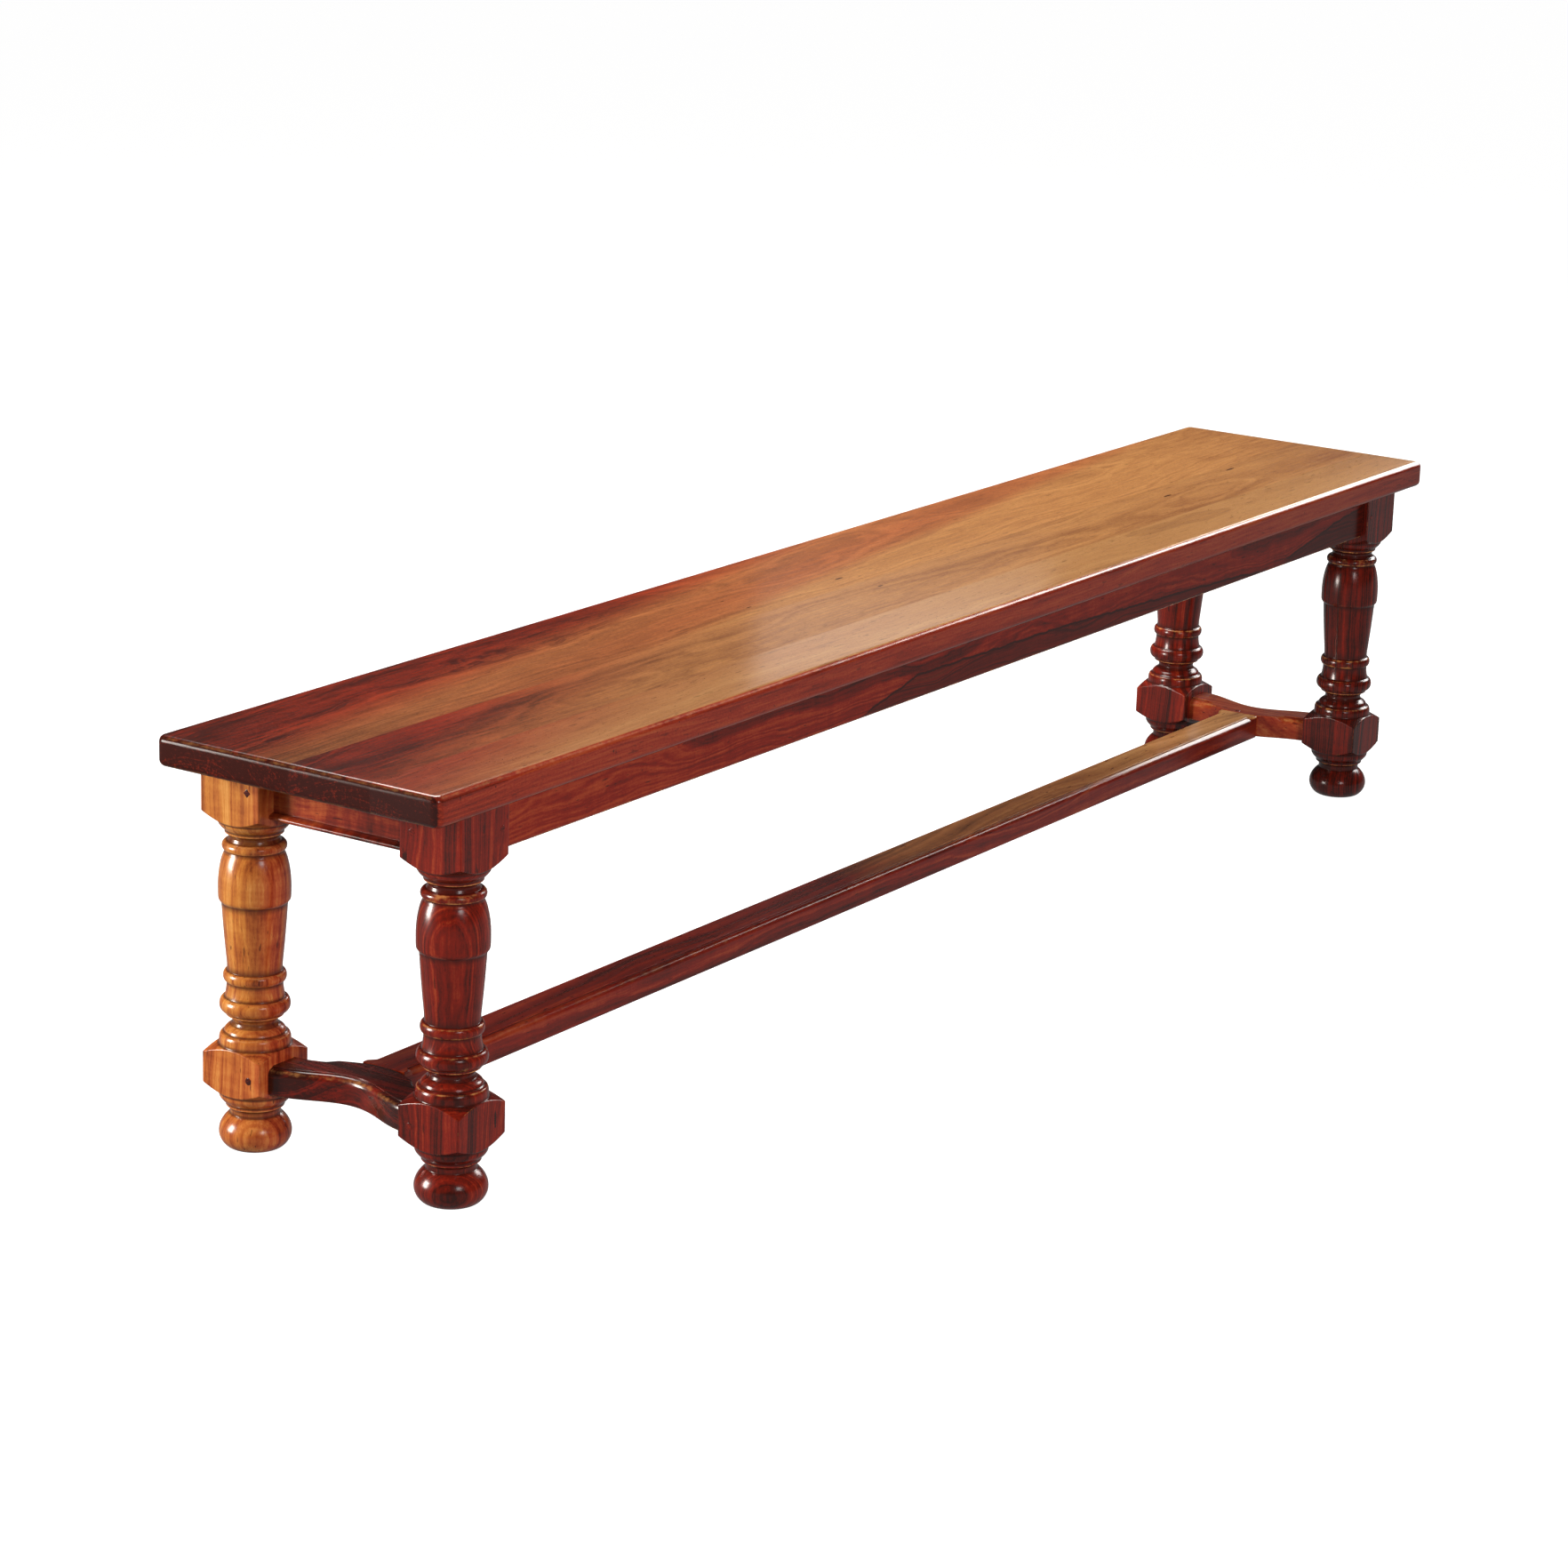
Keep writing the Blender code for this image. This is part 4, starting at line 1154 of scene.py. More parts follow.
@dataclass
class Legs:
    """The four legs, each in its own wood."""

    leg: Leg = field(default_factory=Leg)

    FINISHES = {
        "front_left": Wood(Grain.UPRIGHT, seed=2.0, pith=(0.050, -0.060), level=0.33,
                           smoke=0.8, rings=95.0, streak=0.75, lines=0.44, knots=(
                               Knot((-1.007, -0.097, 0.364), (0.006, 0.0035, 0.0060)),
                               Knot((-0.971, -0.167, 0.397), (0.0014, 0.004, 0.0060)),
                               Knot((-0.947, -0.167, 0.089), (0.0024, 0.004, 0.0105)))),
        # Painted light: the side that faces the left lamp is painted lighter and golden.
        "back_left": Wood(Grain.UPRIGHT, seed=3.4, pith=(-0.055, 0.045), level=0.52,
                          body=(0.290, 0.032, 0.010, 1.0), warm=(0.440, 0.080, 0.022, 1.0),
                          pale=(0.600, 0.200, 0.050, 1.0), smoke=0.85, mottle=0.55, fibre=0.7,
                          streak=1.0,
                          painted_light=PaintedLight((-0.64, 0.77, 0.0), -0.022, 0.014, 0.21,
                                    ((-0.20, 0.60), (-0.08, 0.55), (-0.03, 0.9), (0.1, 1.0)),
                                    (0.110, 0.020, 0.007, 1.0), (0.370, 0.100, 0.020, 1.0),
                                    (0.520, 0.185, 0.034, 1.0), (0.640, 0.290, 0.070, 1.0))),
        "front_right": Wood(Grain.UPRIGHT, seed=5.1, pith=(0.045, 0.065), level=0.17,
                            smoke=0.70, streak=0.60, lines=0.50),
        "back_right": Wood(Grain.UPRIGHT, seed=6.7, pith=(-0.060, -0.050), level=0.34,
                           smoke=0.80, streak=0.70, lines=0.40),
    }

    def build(self, bench: Bench) -> None:
        """Build the legs.

        Args:
            bench: takes the pieces.
        """
        pattern = self.leg.mesh()
        for name, finish in self.FINISHES.items():
            centre = middle_of(f"leg_{name}")
            bm = pattern.copy()
            bmesh.ops.translate(bm, vec=(centre.x, centre.y, 0.0), verts=bm.verts)
            bench.place(f"turned_leg_{name}", bm,
                        finish.material(f"leg_wood_{name}", tuple(centre)),
                        "leg_wood", f"leg_{name}")
        pattern.free()


@dataclass
class Seat:
    """Three boards glued edge to edge, cut from one rounded slab."""

    edge: float = 0.0072
    corner: float = 0.010
    pitch: float = 0.012
    corner_steps: int = 6
    edge_steps: int = 7
    dent: float = 0.0003
    clear: float = 0.01

    LEVEL = 1e-5
    LONG_RUN = 0.3
    ROUND_DEPTH = 0.414
    RUB = (2.6, 1.6)
    DENTED = 0.2
    DENTS = ((55.0, 1.0), (190.0, 0.6))
    PLAIN = {"streak": 0.30, "lines": 0.22, "cloud": 0.34, "fibre": 0.60, "mottle": 0.06,
             "speckle": 0.30, "flecks": 0.45, "smoke": 0.18, "rub": 0.22, "ends": 1.058,
             "coat_rough": 0.17, "body": (0.240, 0.0200, 0.0070, 1.0),
             "warm": (0.330, 0.0560, 0.0160, 1.0)}
    # Painted sheen on each board's flat top: golden, growing towards the far end.
    TOP_SHEEN = ((0.0, 0.0, 1.0), 0.0154, 0.0162, 1.06)
    FINISHES = {
        "front": Wood(Grain.ALONG, seed=1.3, pith=(0.030, -0.090), level=0.46, rings=85.0,
                      painted_light=PaintedLight(*TOP_SHEEN, (
                          (-1.05, 0.12), (-0.9, 0.38), (-0.75, 0.70), (-0.55, 0.9), (0.0, 1.0)),
                          lean=3.0),
                      end_grain=0.30, ticks=0.85, **PLAIN),
        "middle": Wood(Grain.ALONG, seed=2.9, pith=(-0.015, -0.110), level=0.32,
                       varnish=0.6, painted_light=PaintedLight(*TOP_SHEEN, (
                           (-1.0, 0.0), (-0.9, 0.12), (-0.70, 0.50), (-0.5, 0.85), (-0.2, 1.0)),
                           lean=3.0),
                       knots=(Knot((-0.035, -0.021, 0.450), (0.0060, 0.0016, 0.004)),
                              Knot((0.632, -0.028, 0.450), (0.0110, 0.0022, 0.004)),
                              Knot((0.836, -0.008, 0.450), (0.0120, 0.0022, 0.004))),
                       **PLAIN),
        "back": Wood(Grain.ALONG, seed=4.2, pith=(0.040, -0.130), level=0.31, rings=65.0,
                     varnish=0.35, drift=0.06, painted_light=PaintedLight(*TOP_SHEEN, (
                         (-1.0, 0.0), (-0.8, 0.08), (-0.6, 0.30), (-0.41, 0.58), (-0.2, 0.54),
                         (0.0, 0.50), (0.2, 0.58), (0.38, 1.0)), lean=8.0),
                     knots=(Knot((-0.036, 0.036, 0.450), (0.0100, 0.0020, 0.004)),
                            Knot((-0.223, 0.035, 0.450), (0.0050, 0.0014, 0.004)),
                            Knot((-0.220, 0.074, 0.450), (0.0040, 0.0012, 0.004)),
                            Knot((-0.998, 0.078, 0.450), (0.0200, 0.0030, 0.006))),
                     figures=(Figure((-0.99, 0.045, 0.016), (0.11, 0.026, 0.05)),
                              Figure((-0.90, 0.024, 0.016), (0.12, 0.026, 0.05)),
                              Figure((-0.77, 0.050, 0.016), (0.11, 0.028, 0.05)),
                              Figure((-0.67, 0.030, 0.016), (0.16, 0.026, 0.05)),
                              Figure((-0.53, 0.018, 0.016), (0.20, 0.024, 0.05), 0.6),
                              Figure((-1.00, -0.018, 0.016), (0.05, 0.009, 0.05)),
                              Figure((-1.06, 0.020, 0.000), (0.02, 0.060, 0.03))),
                     **PLAIN),
    }

    def build(self, bench: Bench) -> None:
        """Build the boards.

        Args:
            bench: takes the pieces.
        """
        boxes = [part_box(f"seat_board_{part}") for part in self.FINISHES]
        low, high = boxes[0][0], boxes[2][1]
        saws = [low.y - self.clear, boxes[1][0].y, boxes[2][0].y, high.y + self.clear]
        spans = zip(saws, saws[1:])
        slab = self._slab(low, high)
        self._rub_edges(slab, low, high)
        for (part, finish), (front, back) in zip(self.FINISHES.items(), spans):
            bm = slab.copy()
            self._cut(bm, front, keep_above=True)
            self._cut(bm, back, keep_above=False)
            bmesh.ops.recalc_face_normals(bm, faces=bm.faces)
            centre = (0.0, (max(front, low.y) + min(back, high.y)) / 2, (low.z + high.z) / 2)
            bench.place(f"seat_plank_{part}", bm,
                        finish.material(f"seat_wood_{part}", centre),
                        "seat_wood", f"seat_board_{part}")
        slab.free()

    def _slab(self, low: Vector, high: Vector) -> bmesh.types.BMesh:
        """Shape the whole seat: a box with rounded corners and edges.

        Args:
            low: its lowest corner.
            high: its highest corner.

        Returns:
            The mesh.
        """
        bm = bmesh.new()
        bmesh.ops.create_cube(bm, size=1.0)
        bmesh.ops.scale(bm, vec=high - low, verts=bm.verts)
        bmesh.ops.translate(bm, vec=(low + high) / 2, verts=bm.verts)
        upright = [e for e in bm.edges if abs(e.verts[0].co.z - e.verts[1].co.z) > self.LEVEL]
        bmesh.ops.bevel(bm, geom=upright, offset=self.corner, segments=self.corner_steps,
                        affect="EDGES", profile=0.5, material=-1)
        level = [e for e in bm.edges if abs(e.verts[0].co.z - e.verts[1].co.z) < self.LEVEL]
        bmesh.ops.bevel(bm, geom=level, offset=self.edge, segments=self.edge_steps,
                        affect="EDGES", profile=0.5, material=-1)
        for i in (0, 1):
            runs = [e for e in bm.edges
                    if abs(e.verts[0].co[i] - e.verts[1].co[i]) > self.LONG_RUN]
            cuts = round((high[i] - low[i]) / self.pitch)
            bmesh.ops.subdivide_edges(bm, edges=runs, cuts=cuts)
        return bm

    def _rub_edges(self, bm: bmesh.types.BMesh, low: Vector, high: Vector) -> None:
        """Mark the wear on the seat's rounded edges and dent them a little.

        Args:
            bm: the whole seat.
            low: its lowest corner.
            high: its highest corner.
        """
        wear, _ = wood_layers(bm)
        gain, loss = self.RUB
        middle = Vector((0.0, 0.0, (low.z + high.z) / 2))
        for vert in bm.verts:
            side = min(high.x - abs(vert.co.x), high.y - abs(vert.co.y))
            level_gap = min(high.z - vert.co.z, vert.co.z - low.z)
            # 0 at both ends of the edge's quarter round, and 1 in its middle.
            near = (self.edge - side - level_gap) / (self.edge * self.ROUND_DEPTH)
            vert[wear] = min(1.0, max(0.0, near * gain - loss))
            dent = sum(share * noise.noise(vert.co * pitch) for pitch, share in self.DENTS)
            inward = Vector([-math.copysign(1.0, vert.co[i] - middle[i])
                             if near > self.DENTED and self._at_side(vert.co, low, high, i)
                             else 0.0 for i in range(3)])
            vert.co += inward * (max(dent, 0.0) * self.dent * vert[wear])

    def _at_side(self, place: Vector, low: Vector, high: Vector, i: int) -> bool:
        """Whether a place is within the edge rounding of a side across axis i."""
        return min(place[i] - low[i], high[i] - place[i]) < self.edge

    @staticmethod
    def _cut(bm: bmesh.types.BMesh, y: float, keep_above: bool) -> None:
        """Saw the slab at a joint and close the cut.

        Args:
            bm: the slab.
            y: place of the joint.
            keep_above: whether the part behind the joint is kept, or the one before it.
        """
        geometry = [*bm.verts, *bm.edges, *bm.faces]
        cut = bmesh.ops.bisect_plane(bm, geom=geometry, plane_co=(0, y, 0), plane_no=(0, 1, 0),
                                     clear_inner=keep_above, clear_outer=not keep_above)
        rim = [item for item in cut["geom_cut"] if isinstance(item, bmesh.types.BMEdge)]
        if rim:
            bmesh.ops.holes_fill(bm, edges=rim, sides=0)


@dataclass
class Aprons:
    """The four boards under the seat."""

    groove_height: float = 0.0070
    groove_depth: float = 0.0080
    groove_drop: float = 0.0100
    side_round: float = 0.0042
    small_round: float = 0.0012
    bead: float = 0.0080
    bead_steps: int = 16
    pitch: float = 0.02
    # Painted shade under the seat and in the bead's quirk: how dark, and how far it reaches.
    painted_shade: float = 0.5
    painted_shade_reach: float = 0.004
    bead_shade_reach: float = 0.003
    quirk: float = 0.0004

    FRONT_VEINS = (
        Vein(((-0.290, -0.0270), (-0.257, -0.0180), (-0.204, -0.0070), (-0.165, 0.0020),
              (-0.036, 0.0), (0.147, -0.0020), (0.342, -0.0090), (0.478, -0.0140),
              (0.608, -0.0200), (0.700, -0.0300)), 0.0026, 0.58),
        Vein(((0.700, -0.0220), (0.800, -0.0040), (0.850, 0.0060), (0.900, 0.0120),
              (0.980, 0.0200)), 0.0028, 0.75),
    )
    SIDE_FINISHES = {
        "front": Wood(Grain.ALONG, seed=7.7, pith=(-0.080, 0.030), level=0.37, rings=90.0,
                      smoke=0.25, varnish=0.7, drift=-0.10, ticks=0.85, streak=0.5,
                      cloud=0.35, lines=0.4, veins=FRONT_VEINS),
        "back": Wood(Grain.ALONG, seed=8.9, pith=(0.080, -0.030), level=0.44, smoke=0.60),
    }
    END_FINISHES = {
        "left": Wood(Grain.ACROSS, seed=9.6, pith=(0.070, 0.040), level=0.42, smoke=0.05,
                     mottle=0.75, streak=0.3, drift=2.2, body=(0.220, 0.020, 0.008, 1.0),
                     warm=(0.440, 0.085, 0.022, 1.0)),
        "right": Wood(Grain.ACROSS, seed=10.8, pith=(-0.070, 0.040), level=0.44, mottle=0.35),
    }

    def section(self, node_low: Vector, node_high: Vector, outer: float, inner: float,
                bead: bool) -> list[Mark]:
        """Draw the section of an apron, going clockwise seen with the show face on the right.

        Args:
            node_low: lowest corner of the CAD board.
            node_high: highest corner of the CAD board.
            outer: place of the show face.
            inner: place of the hidden face.
            bead: whether a bead runs along the lower edge.

        Returns:
            The marks, as if the show face looked towards +across.
        """
        top, bottom = node_high.z, node_low.z
        groove_top = top - self.groove_drop
        groove_bottom = groove_top - self.groove_height
        # Painted shade at the top of the show face, under the seat, fading out downwards.
        marks = [Mark(inner, top), Mark(outer, top, 0.0, self.painted_shade),
                 Mark(outer, top - self.painted_shade_reach)]
        if bead:
            middle, half = bottom + self.bead / 2, self.bead / 2
            # Painted shade in the quirk above the bead, and on the bead's first step.
            marks.append(Mark(outer, bottom + self.bead + self.bead_shade_reach))
            marks.append(Mark(outer, bottom + self.bead + self.quirk, 0.0, self.painted_shade))
            for i in range(1, self.bead_steps + 1):
                turn = math.pi / 2 - i / self.bead_steps * math.pi
                marks.append(Mark(outer + self.bead * math.cos(turn),
                                  middle + half * math.sin(turn),
                                  0.5 * math.cos(turn) ** 2, 0.4 if i == 1 else 0.0))
        else:
            marks.append(Mark(outer, bottom + self.side_round * 1.3))
            marks += rounded((outer - self.side_round, bottom + self.side_round),
                             self.side_round, 0.0, steps=6)
        marks += rounded((inner + self.small_round, bottom + self.small_round),
                         self.small_round, -math.pi / 2, steps=3, wear=0.6)
        marks += [Mark(inner, groove_bottom), Mark(inner + self.groove_depth, groove_bottom),
                  Mark(inner + self.groove_depth, groove_top), Mark(inner, groove_top)]
        return marks

    def build(self, bench: Bench) -> None:
        """Build the aprons.

        Args:
            bench: takes the pieces.
        """
        inner_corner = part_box("leg_front_left")[1]
        reach_x, reach_y = abs(inner_corner.x), abs(inner_corner.y)
        for sign, row in ROWS.items():
            low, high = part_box(f"apron_{row}")
            outer, inner = sorted((abs(low.y), abs(high.y)), reverse=True)
            self._board(bench, f"apron_{row}", sign, (outer, inner), reach_x, Grain.ALONG,
                        self.SIDE_FINISHES[row])
        for sign, end in ENDS.items():
            low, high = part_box(f"apron_{end}")
            outer, inner = sorted((abs(low.x), abs(high.x)), reverse=True)
            self._board(bench, f"apron_{end}", sign, (outer - self.bead, inner), reach_y,
                        Grain.ACROSS, self.END_FINISHES[end])

    def _board(self, bench: Bench, node: str, sign: int, faces: tuple[float, float],
               reach: float, along: Grain, finish: Wood) -> None:
        """Build one apron between the legs' inner faces.

        Args:
            bench: takes the piece.
            node: the CAD board.
            sign: which side of the middle it lies on.
            faces: distances of the show face and the hidden face from the middle.
            reach: half its length.
            along: its direction.
            finish: its wood.
        """
        low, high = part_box(node)
        marks = self.section(low, high, faces[0], faces[1], bead=along is Grain.ACROSS)
        marks = [Mark(sign * m.across, m.z, m.wear, m.hollow) for m in marks]
        bm = sweep(spread(-reach, reach, self.pitch), lambda s: marks, along)
        wood = finish.material(f"{node}_wood", tuple(middle_of(node)))
        bench.place(f"rail_board_{node}", bm, wood, "apron_wood", node)


@dataclass
class Stretchers:
    """The two bowed end stretchers and the long centre rail between them."""

    width: float = 0.050
    depth: float = 0.030
    bow: float = 0.026
    rail_width: float = 0.0546
    mould: float = 0.0075
    quirk: float = 0.0014
    runout: float = 0.008
    rail_stop: float = 0.020
    end_stop: float = 0.006
    lower_round: float = 0.0018
    eased: float = 0.0010
    lip: float = 0.0003
    flat_wear: float = 0.0015
    side_wear: float = 0.002
    mould_steps: int = 9
    bow_pitch: float = 0.002
    rail_pitch: float = 0.02
    runout_pitch: float = 0.001

    FINISHES = {
        "end_stretcher_left": Wood(Grain.ACROSS, seed=11.5, pith=(0.060, 0.040), level=0.22,
                                   smoke=0.5, streak=0.55, rub=0.55),
        "end_stretcher_right": Wood(Grain.ACROSS, seed=12.4, pith=(-0.060, 0.040), level=0.60),
        # Painted sheen on the rail's top: golden, growing towards the far end.
        "centre_rail": Wood(Grain.ALONG, seed=13.2, pith=(0.050, -0.070), level=0.38, smoke=0.6,
                            rub=0.14, painted_light=PaintedLight((0, 0, 1), 0.0120, 0.0145, 0.92, (
                                (-0.1, 0.0), (0.05, 0.5), (0.5, 0.55), (0.62, 0.8), (0.8, 1.0)),
                                (0.270, 0.095, 0.030, 1.0), (0.600, 0.270, 0.085, 1.0),
                                (0.720, 0.370, 0.130, 1.0), (0.820, 0.480, 0.190, 1.0))),
    }

    def corner(self, edge: float, inward: int, depth: float, top: float) -> list[Mark]:
        """Draw a moulded top arris, from the flat top round to the side.

        Args:
            edge: place of the side face.
            inward: direction of the bar's middle.
            depth: from 0, an eased square arris, to 1, the full quirk and ovolo.
            top: height of the bar's top.

        Returns:
            The marks.
        """
        radius = self.mould * depth + self.eased * (1 - depth)
        quirk = self.quirk * depth
        flat = edge + inward * radius
        # The quirk's mark carries painted shade, as deep as the moulding.
        marks = [Mark(flat + inward * self.flat_wear, top),
                 Mark(flat + inward * self.lip, top, 0.7),
                 Mark(flat, top - self.lip * depth, 0.4),
                 Mark(flat, top - quirk, 0.0, depth)]
        for i in range(1, self.mould_steps + 1):
            turn = i / self.mould_steps * math.pi / 2
            rub = 0.9 * math.sin(2 * turn)
            marks.append(Mark(edge + inward * radius * (1 - math.sin(turn)),
                              top - quirk - radius * (1 - math.cos(turn)), rub))
        return marks

    def section(self, outer: float, inner: float, outer_depth: float, inner_depth: float,
                top: float) -> list[Mark]:
        """Draw the section of a bar whose two top arrises are moulded.

        Args:
            outer: place of the outer side.
            inner: place of the inner side.
            outer_depth: how deep the outer arris is moulded, from 0 to 1.
            inner_depth: how deep the inner arris is moulded.
            top: height of the bar's top.

        Returns:
            The marks.
        """
        way = 1 if outer < inner else -1
        bottom = top - self.depth
        return [*self.corner(outer, way, outer_depth, top),
                *self.lower_corner(outer, way, bottom),
                *reversed(self.lower_corner(inner, -way, bottom)),
                *reversed(self.corner(inner, -way, inner_depth, top))]

    def lower_corner(self, edge: float, inward: int, bottom: float) -> list[Mark]:
        """Draw an eased lower arris, from the side round to the underside.

        Args:
            edge: place of the side face.
            inward: direction of the bar's middle.
            bottom: height of the bar's underside.

        Returns:
            The marks.
        """
        ease = self.lower_round
        return [Mark(edge, bottom + ease + self.side_wear), Mark(edge, bottom + ease, 0.5),
                Mark(edge + inward * ease * 0.3, bottom + ease * 0.3, 0.9),
                Mark(edge + inward * ease, bottom, 0.5)]

    def build(self, bench: Bench) -> None:
        """Build the stretchers and the rail.

        Args:
            bench: takes the pieces.
        """
        leg_low, leg_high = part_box("leg_front_left")
        line, reach = abs(leg_low.x + leg_high.x) / 2, abs(leg_high.y)
        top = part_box("centre_rail")[1].z
        stop = self.rail_width / 2 + self.rail_stop
        for sign, end in ENDS.items():
            outer, inner = sign * (line + self.width / 2), sign * (line - self.width / 2)

            def section_at(y: float, outer: float = outer, inner: float = inner) -> list[Mark]:
                """Leave the inner arris square next to the rail's tenon."""
                share = min(max((abs(y) - stop) / self.runout, 0.0), 1.0)
                return self.section(outer, inner, 1.0, share, top)

            def bend(y: float, sign: int = sign) -> float:
                """Bow the stretcher towards the bench's middle."""
                return -sign * self.bow * (1 + math.cos(math.pi * min(abs(y) / reach, 1.0))) / 2

            node = f"end_stretcher_{end}"
            bm = sweep(spread(-reach, reach, self.bow_pitch), section_at, Grain.ACROSS, bend)
            self._place(bench, f"bowed_stretcher_{end}", bm, node)
        self._rail(bench, line - self.width / 2 - self.bow, top)

    def _rail(self, bench: Bench, reach: float, top: float) -> None:
        """Build the long rail between its two shoulders.

        Args:
            bench: takes the rail.
            reach: distance of each shoulder from the middle.
            top: height of the rail's top.
        """
        stop, half = reach - self.end_stop, self.rail_width / 2
        fine = spread(stop - self.runout, stop, self.runout_pitch)
        places = [-reach, *[-x for x in reversed(fine)],
                  *spread(-stop + self.runout, stop - self.runout, self.rail_pitch)[1:-1],
                  *fine, reach]

        def section_at(x: float) -> list[Mark]:
            """Run the mouldings out before the shoulders."""
            share = min(max((stop - abs(x)) / self.runout, 0.0), 1.0)
            return self.section(-half, half, share, share, top)

        bm = sweep(places, section_at, Grain.ALONG)
        self._place(bench, "long_rail", bm, "centre_rail")

    def _place(self, bench: Bench, name: str, bm: bmesh.types.BMesh, node: str) -> None:
        """Dress a bar in its own wood."""
        material = self.FINISHES[node].material(f"{node}_wood", tuple(middle_of(node)))
        bench.place(name, bm, material, "stretcher_wood", node)


@dataclass
class Pegs:
    """Draw pegs, cut off flush and a little proud after years of shrinkage."""

    proud: float = 0.0003
    sides: int = 28
    dome: float = 0.0006

    def build(self, bench: Bench) -> None:
        """Build every peg in place of its CAD node.

        Args:
            bench: takes the pieces.
        """
        finish = Wood(Grain.ALONG, seed=14.1, level=0.20, rings=300.0, smoke=0.8,
                      worn=(0.110, 0.030, 0.010, 1.0))
        material = finish.material("peg_wood", (0.0, 0.0, 0.0))
        for (side_y, row), (side_x, end) in product(ROWS.items(), ENDS.items()):
            spots = {"end_apron": (Vector((side_x, 0, 0)), 4),
                     "side_apron": (Vector((0, side_y, 0)), self.sides),
                     "stretcher": (Vector((side_x, 0, 0)), self.sides)}
            for joint, (way, sides) in spots.items():
                self._peg(bench, f"{joint}_peg_{row}_{end}", way, sides, material)
        for end in ENDS.values():
            self._peg(bench, f"rail_peg_{end}", Vector((0, 0, 1)), self.sides, material)

    def _peg(self, bench: Bench, node: str, way: Vector, sides: int,
             material: bpy.types.Material) -> None:
        """Build one peg along its own axis, with a slightly domed end.

        Args:
            bench: takes the piece.
            node: the CAD peg.
            way: direction of its visible end.
            sides: number of its sides; four make the square peg, set on its corner.
            material: its wood.
        """
        low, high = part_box(node)
        size = high - low
        length = max(abs(size.dot(way)), 0.001)
        across = max(size[i] for i in range(3) if abs(way[i]) < 0.5)
        turn = way.to_track_quat("Z", "Y").to_matrix().to_4x4()
        bm = bmesh.new()
        bmesh.ops.create_cone(bm, cap_ends=True, segments=sides, radius1=across / 2,
                              radius2=across / 2, depth=length + self.proud)
        tip = [e for e in bm.edges if all(v.co.z > 0 for v in e.verts)]
        bmesh.ops.bevel(bm, geom=tip, offset=self.dome, segments=3, affect="EDGES",
                        profile=0.5, material=-1)
        wood_layers(bm)
        centre = (low + high) / 2 + way * self.proud / 2
        bmesh.ops.transform(bm, matrix=Matrix.Translation(centre) @ turn, verts=bm.verts)
        bench.place(f"draw_{node}", bm, material, "peg_wood", node)


@dataclass
class SeatButtons:
    """Wooden buttons and their screws, which hold the seat to the aprons."""

    def build(self) -> None:
        """Give the CAD buttons and screws their finishes."""
        wood = Wood(Grain.ALONG, seed=15.3, level=0.55, varnish=0.0,
                    deep=(0.10, 0.045, 0.018, 1.0), body=(0.30, 0.16, 0.07, 1.0),
                    warm=(0.42, 0.25, 0.12, 1.0), pale=(0.55, 0.38, 0.22, 1.0),
                    smoke=0.2).material("button_wood", (0.0, 0.0, 0.43))
        steel = Steel().material("screw_steel")
        for name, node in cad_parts.items():
            if name.startswith("seat_button"):
                self._dress(node, wood)
            elif name.startswith("button_screw"):
                self._dress(node, steel)

    @staticmethod
    def _dress(node: bpy.types.Object, material: bpy.types.Material) -> None:
        """Put a finish in every material slot of a CAD node.

        Args:
            node: the node.
            material: the finish.
        """
        for slot in node.material_slots:
            slot.material = material
        LOG.info("%s: dressed", node.name)


@dataclass
class Lamp:
    """A soft rectangular studio light, which the varnish mirrors or not."""

    name: str
    place: Point
    aim: Point
    size: tuple[float, float]
    power: float
    colour: tuple[float, float, float] = (1.0, 1.0, 1.0)
    mirrored: bool = True


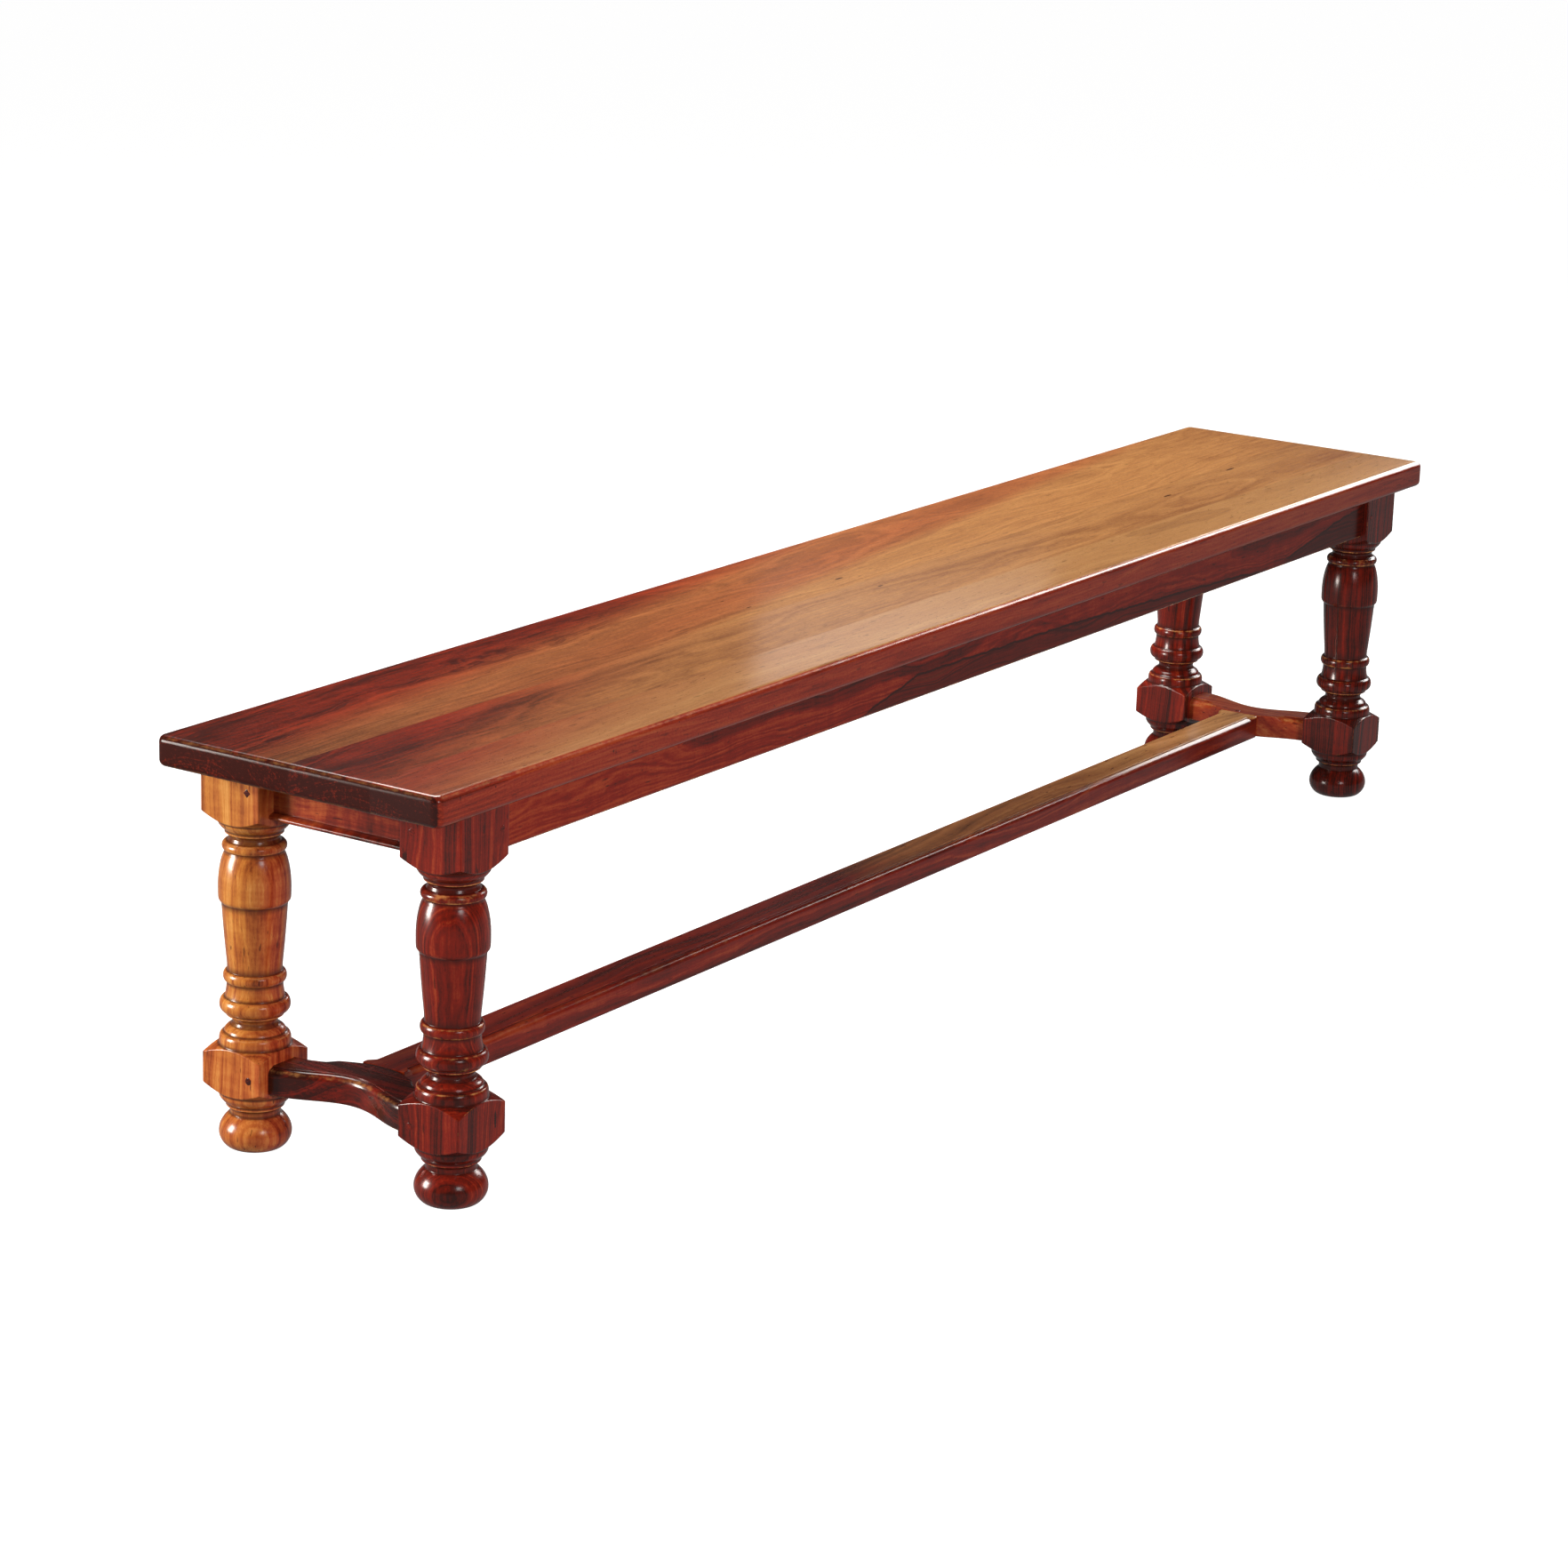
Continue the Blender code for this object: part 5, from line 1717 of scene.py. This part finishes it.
@dataclass
class Studio:
    """Camera, pale floor and soft lights.

    The camera sees a white room. For the wood the room is dim, and its varnish mirrors
    more of it below the horizon than above.
    """

    lens: float = 101.714
    sensor: float = 36.0
    yaw: float = math.radians(33.581)
    pitch: float = math.radians(-15.845)
    roll: float = math.radians(1.761)
    stand: Point = (-4.2650, -2.7038, 1.6290)
    lamps: tuple[Lamp, ...] = (
        Lamp("key", (-1.9, -3.4, 1.25), (0.0, 0.0, 0.3), (1.3, 1.3), 101.0, mirrored=False),
        Lamp("spark", (-2.6, -3.5, 1.9), (-0.6, 0.0, 0.3), (0.9, 0.8), 24.0),
        Lamp("left", (-2.53, 1.82, 0.80), (-0.9, 0.0, 0.3), (0.7, 1.0), 95.0, (1.0, 0.95, 0.88)),
        Lamp("top", (0.45, 0.9, 2.6), (0.3, 0.0, 0.4), (1.9, 1.6), 118.0, (1.0, 0.98, 0.92)),
        Lamp("rim", (-0.18, 1.57, 2.2), (-1.06, 0.0, 0.45), (0.8, 0.25), 1.6),
        Lamp("far", (4.05, 0.0, 1.76), (1.05, 0.0, 0.45), (2.45, 0.80), 54.0),
        Lamp("arris", (4.05, -0.95, 2.62), (0.4, -0.18, 0.45), (1.5, 0.7), 46.0,
             (1.0, 0.98, 0.94)),
        Lamp("sheen", (1.320, 0.795, 0.940), (-0.15, -0.13, 0.45), (0.45, 0.19), 0.22),
    )

    FLOOR_REACH = 40.0
    FLOOR_GLOW = 0.98
    HORIZON = (0.02, -0.06)
    SCATTERED = ((0.045, 0.038, 0.036, 1.0), (0.16, 0.155, 0.155, 1.0))
    MIRRORED = (grey(0.035), grey(0.25))

    def build(self) -> None:
        """Set up the camera, the floor, the lights and the surroundings."""
        scene = bpy.context.scene
        scene.view_settings.view_transform = "Standard"
        self._camera(scene)
        self._floor(scene)
        for lamp in self.lamps:
            self._lamp(scene, lamp)
        self._surroundings(scene)

    def _camera(self, scene: bpy.types.Scene) -> None:
        """Stand the camera where the photograph was taken from.

        Args:
            scene: the scene.
        """
        data = bpy.data.cameras.new("camera")
        data.lens = self.lens
        data.sensor_width = self.sensor
        data.clip_end = 100.0
        forward = Vector((math.cos(self.pitch) * math.cos(self.yaw),
                          math.cos(self.pitch) * math.sin(self.yaw), math.sin(self.pitch)))
        right = Vector((math.sin(self.yaw), -math.cos(self.yaw), 0.0))
        up = right.cross(forward)
        level, tilt = math.cos(self.roll), math.sin(self.roll)
        right, up = level * right + tilt * up, level * up - tilt * right
        turn = Matrix((right, up, -forward)).transposed().to_4x4()
        camera = bpy.data.objects.new("camera", data)
        camera.matrix_world = Matrix.Translation(self.stand) @ turn
        scene.collection.objects.link(camera)
        scene.camera = camera

    def _floor(self, scene: bpy.types.Scene) -> None:
        """Lay a plain pale floor, which neither shows in the varnish nor tints the wood.

        Args:
            scene: the scene.
        """
        bm = bmesh.new()
        bmesh.ops.create_grid(bm, x_segments=1, y_segments=1, size=self.FLOOR_REACH)
        mesh = bpy.data.meshes.new("floor")
        bm.to_mesh(mesh)
        bm.free()
        floor = bpy.data.objects.new("floor", mesh)
        scene.collection.objects.link(floor)
        graph = Graph(bpy.data.materials.new("floor_paint"))
        mesh.materials.append(graph.finish({
            "Base Color": (0.25, 0.25, 0.248, 1.0), "Roughness": 0.9,
            "Specular IOR Level": 0.0, "Emission Color": grey(1.0),
            "Emission Strength": self.FLOOR_GLOW}))
        floor.visible_glossy = False
        floor.visible_diffuse = False

    @staticmethod
    def _lamp(scene: bpy.types.Scene, lamp: Lamp) -> None:
        """Hang one light and turn it towards its aim.

        Args:
            scene: the scene.
            lamp: the light.
        """
        data = bpy.data.lights.new(lamp.name, "AREA")
        data.shape = "RECTANGLE"
        data.size, data.size_y = lamp.size
        data.energy = lamp.power
        data.color = lamp.colour
        made = bpy.data.objects.new(lamp.name, data)
        way = Vector(lamp.aim) - Vector(lamp.place)
        made.matrix_world = (Matrix.Translation(lamp.place)
                             @ way.to_track_quat("-Z", "Y").to_matrix().to_4x4())
        made.visible_camera = False
        made.visible_glossy = lamp.mirrored
        scene.collection.objects.link(made)

    def _surroundings(self, scene: bpy.types.Scene) -> None:
        """Make the room pale to look at, and dim in reflections.

        Args:
            scene: the scene.
        """
        scene.world = bpy.data.worlds.new("room")
        graph = Graph(scene.world)
        rays = graph.add("ShaderNodeLightPath")
        way = Signal(graph, graph.add("ShaderNodeTexCoord").outputs["Generated"])
        below = graph.part(way, "Z").within(*self.HORIZON)
        scattered, mirrored = (graph.mix(below, *pair)
                               for pair in (self.SCATTERED, self.MIRRORED))
        dim = graph.mix(Signal(graph, rays.outputs["Is Glossy Ray"]), scattered, mirrored)
        seen = graph.mix(Signal(graph, rays.outputs["Is Camera Ray"]), dim, grey(1.0))
        back = graph.add("ShaderNodeBackground", None, {"Color": seen})
        out = graph.add("ShaderNodeOutputWorld")
        graph.tree.links.new(back.outputs["Background"], out.inputs["Surface"])


def main() -> None:
    logging.basicConfig(level=logging.INFO, format="%(name)s: %(message)s")
    Studio().build()
    bench = Bench()
    Seat().build(bench)
    Legs().build(bench)
    Aprons().build(bench)
    Stretchers().build(bench)
    Pegs().build(bench)
    SeatButtons().build()


if __name__ == "__main__":
    main()
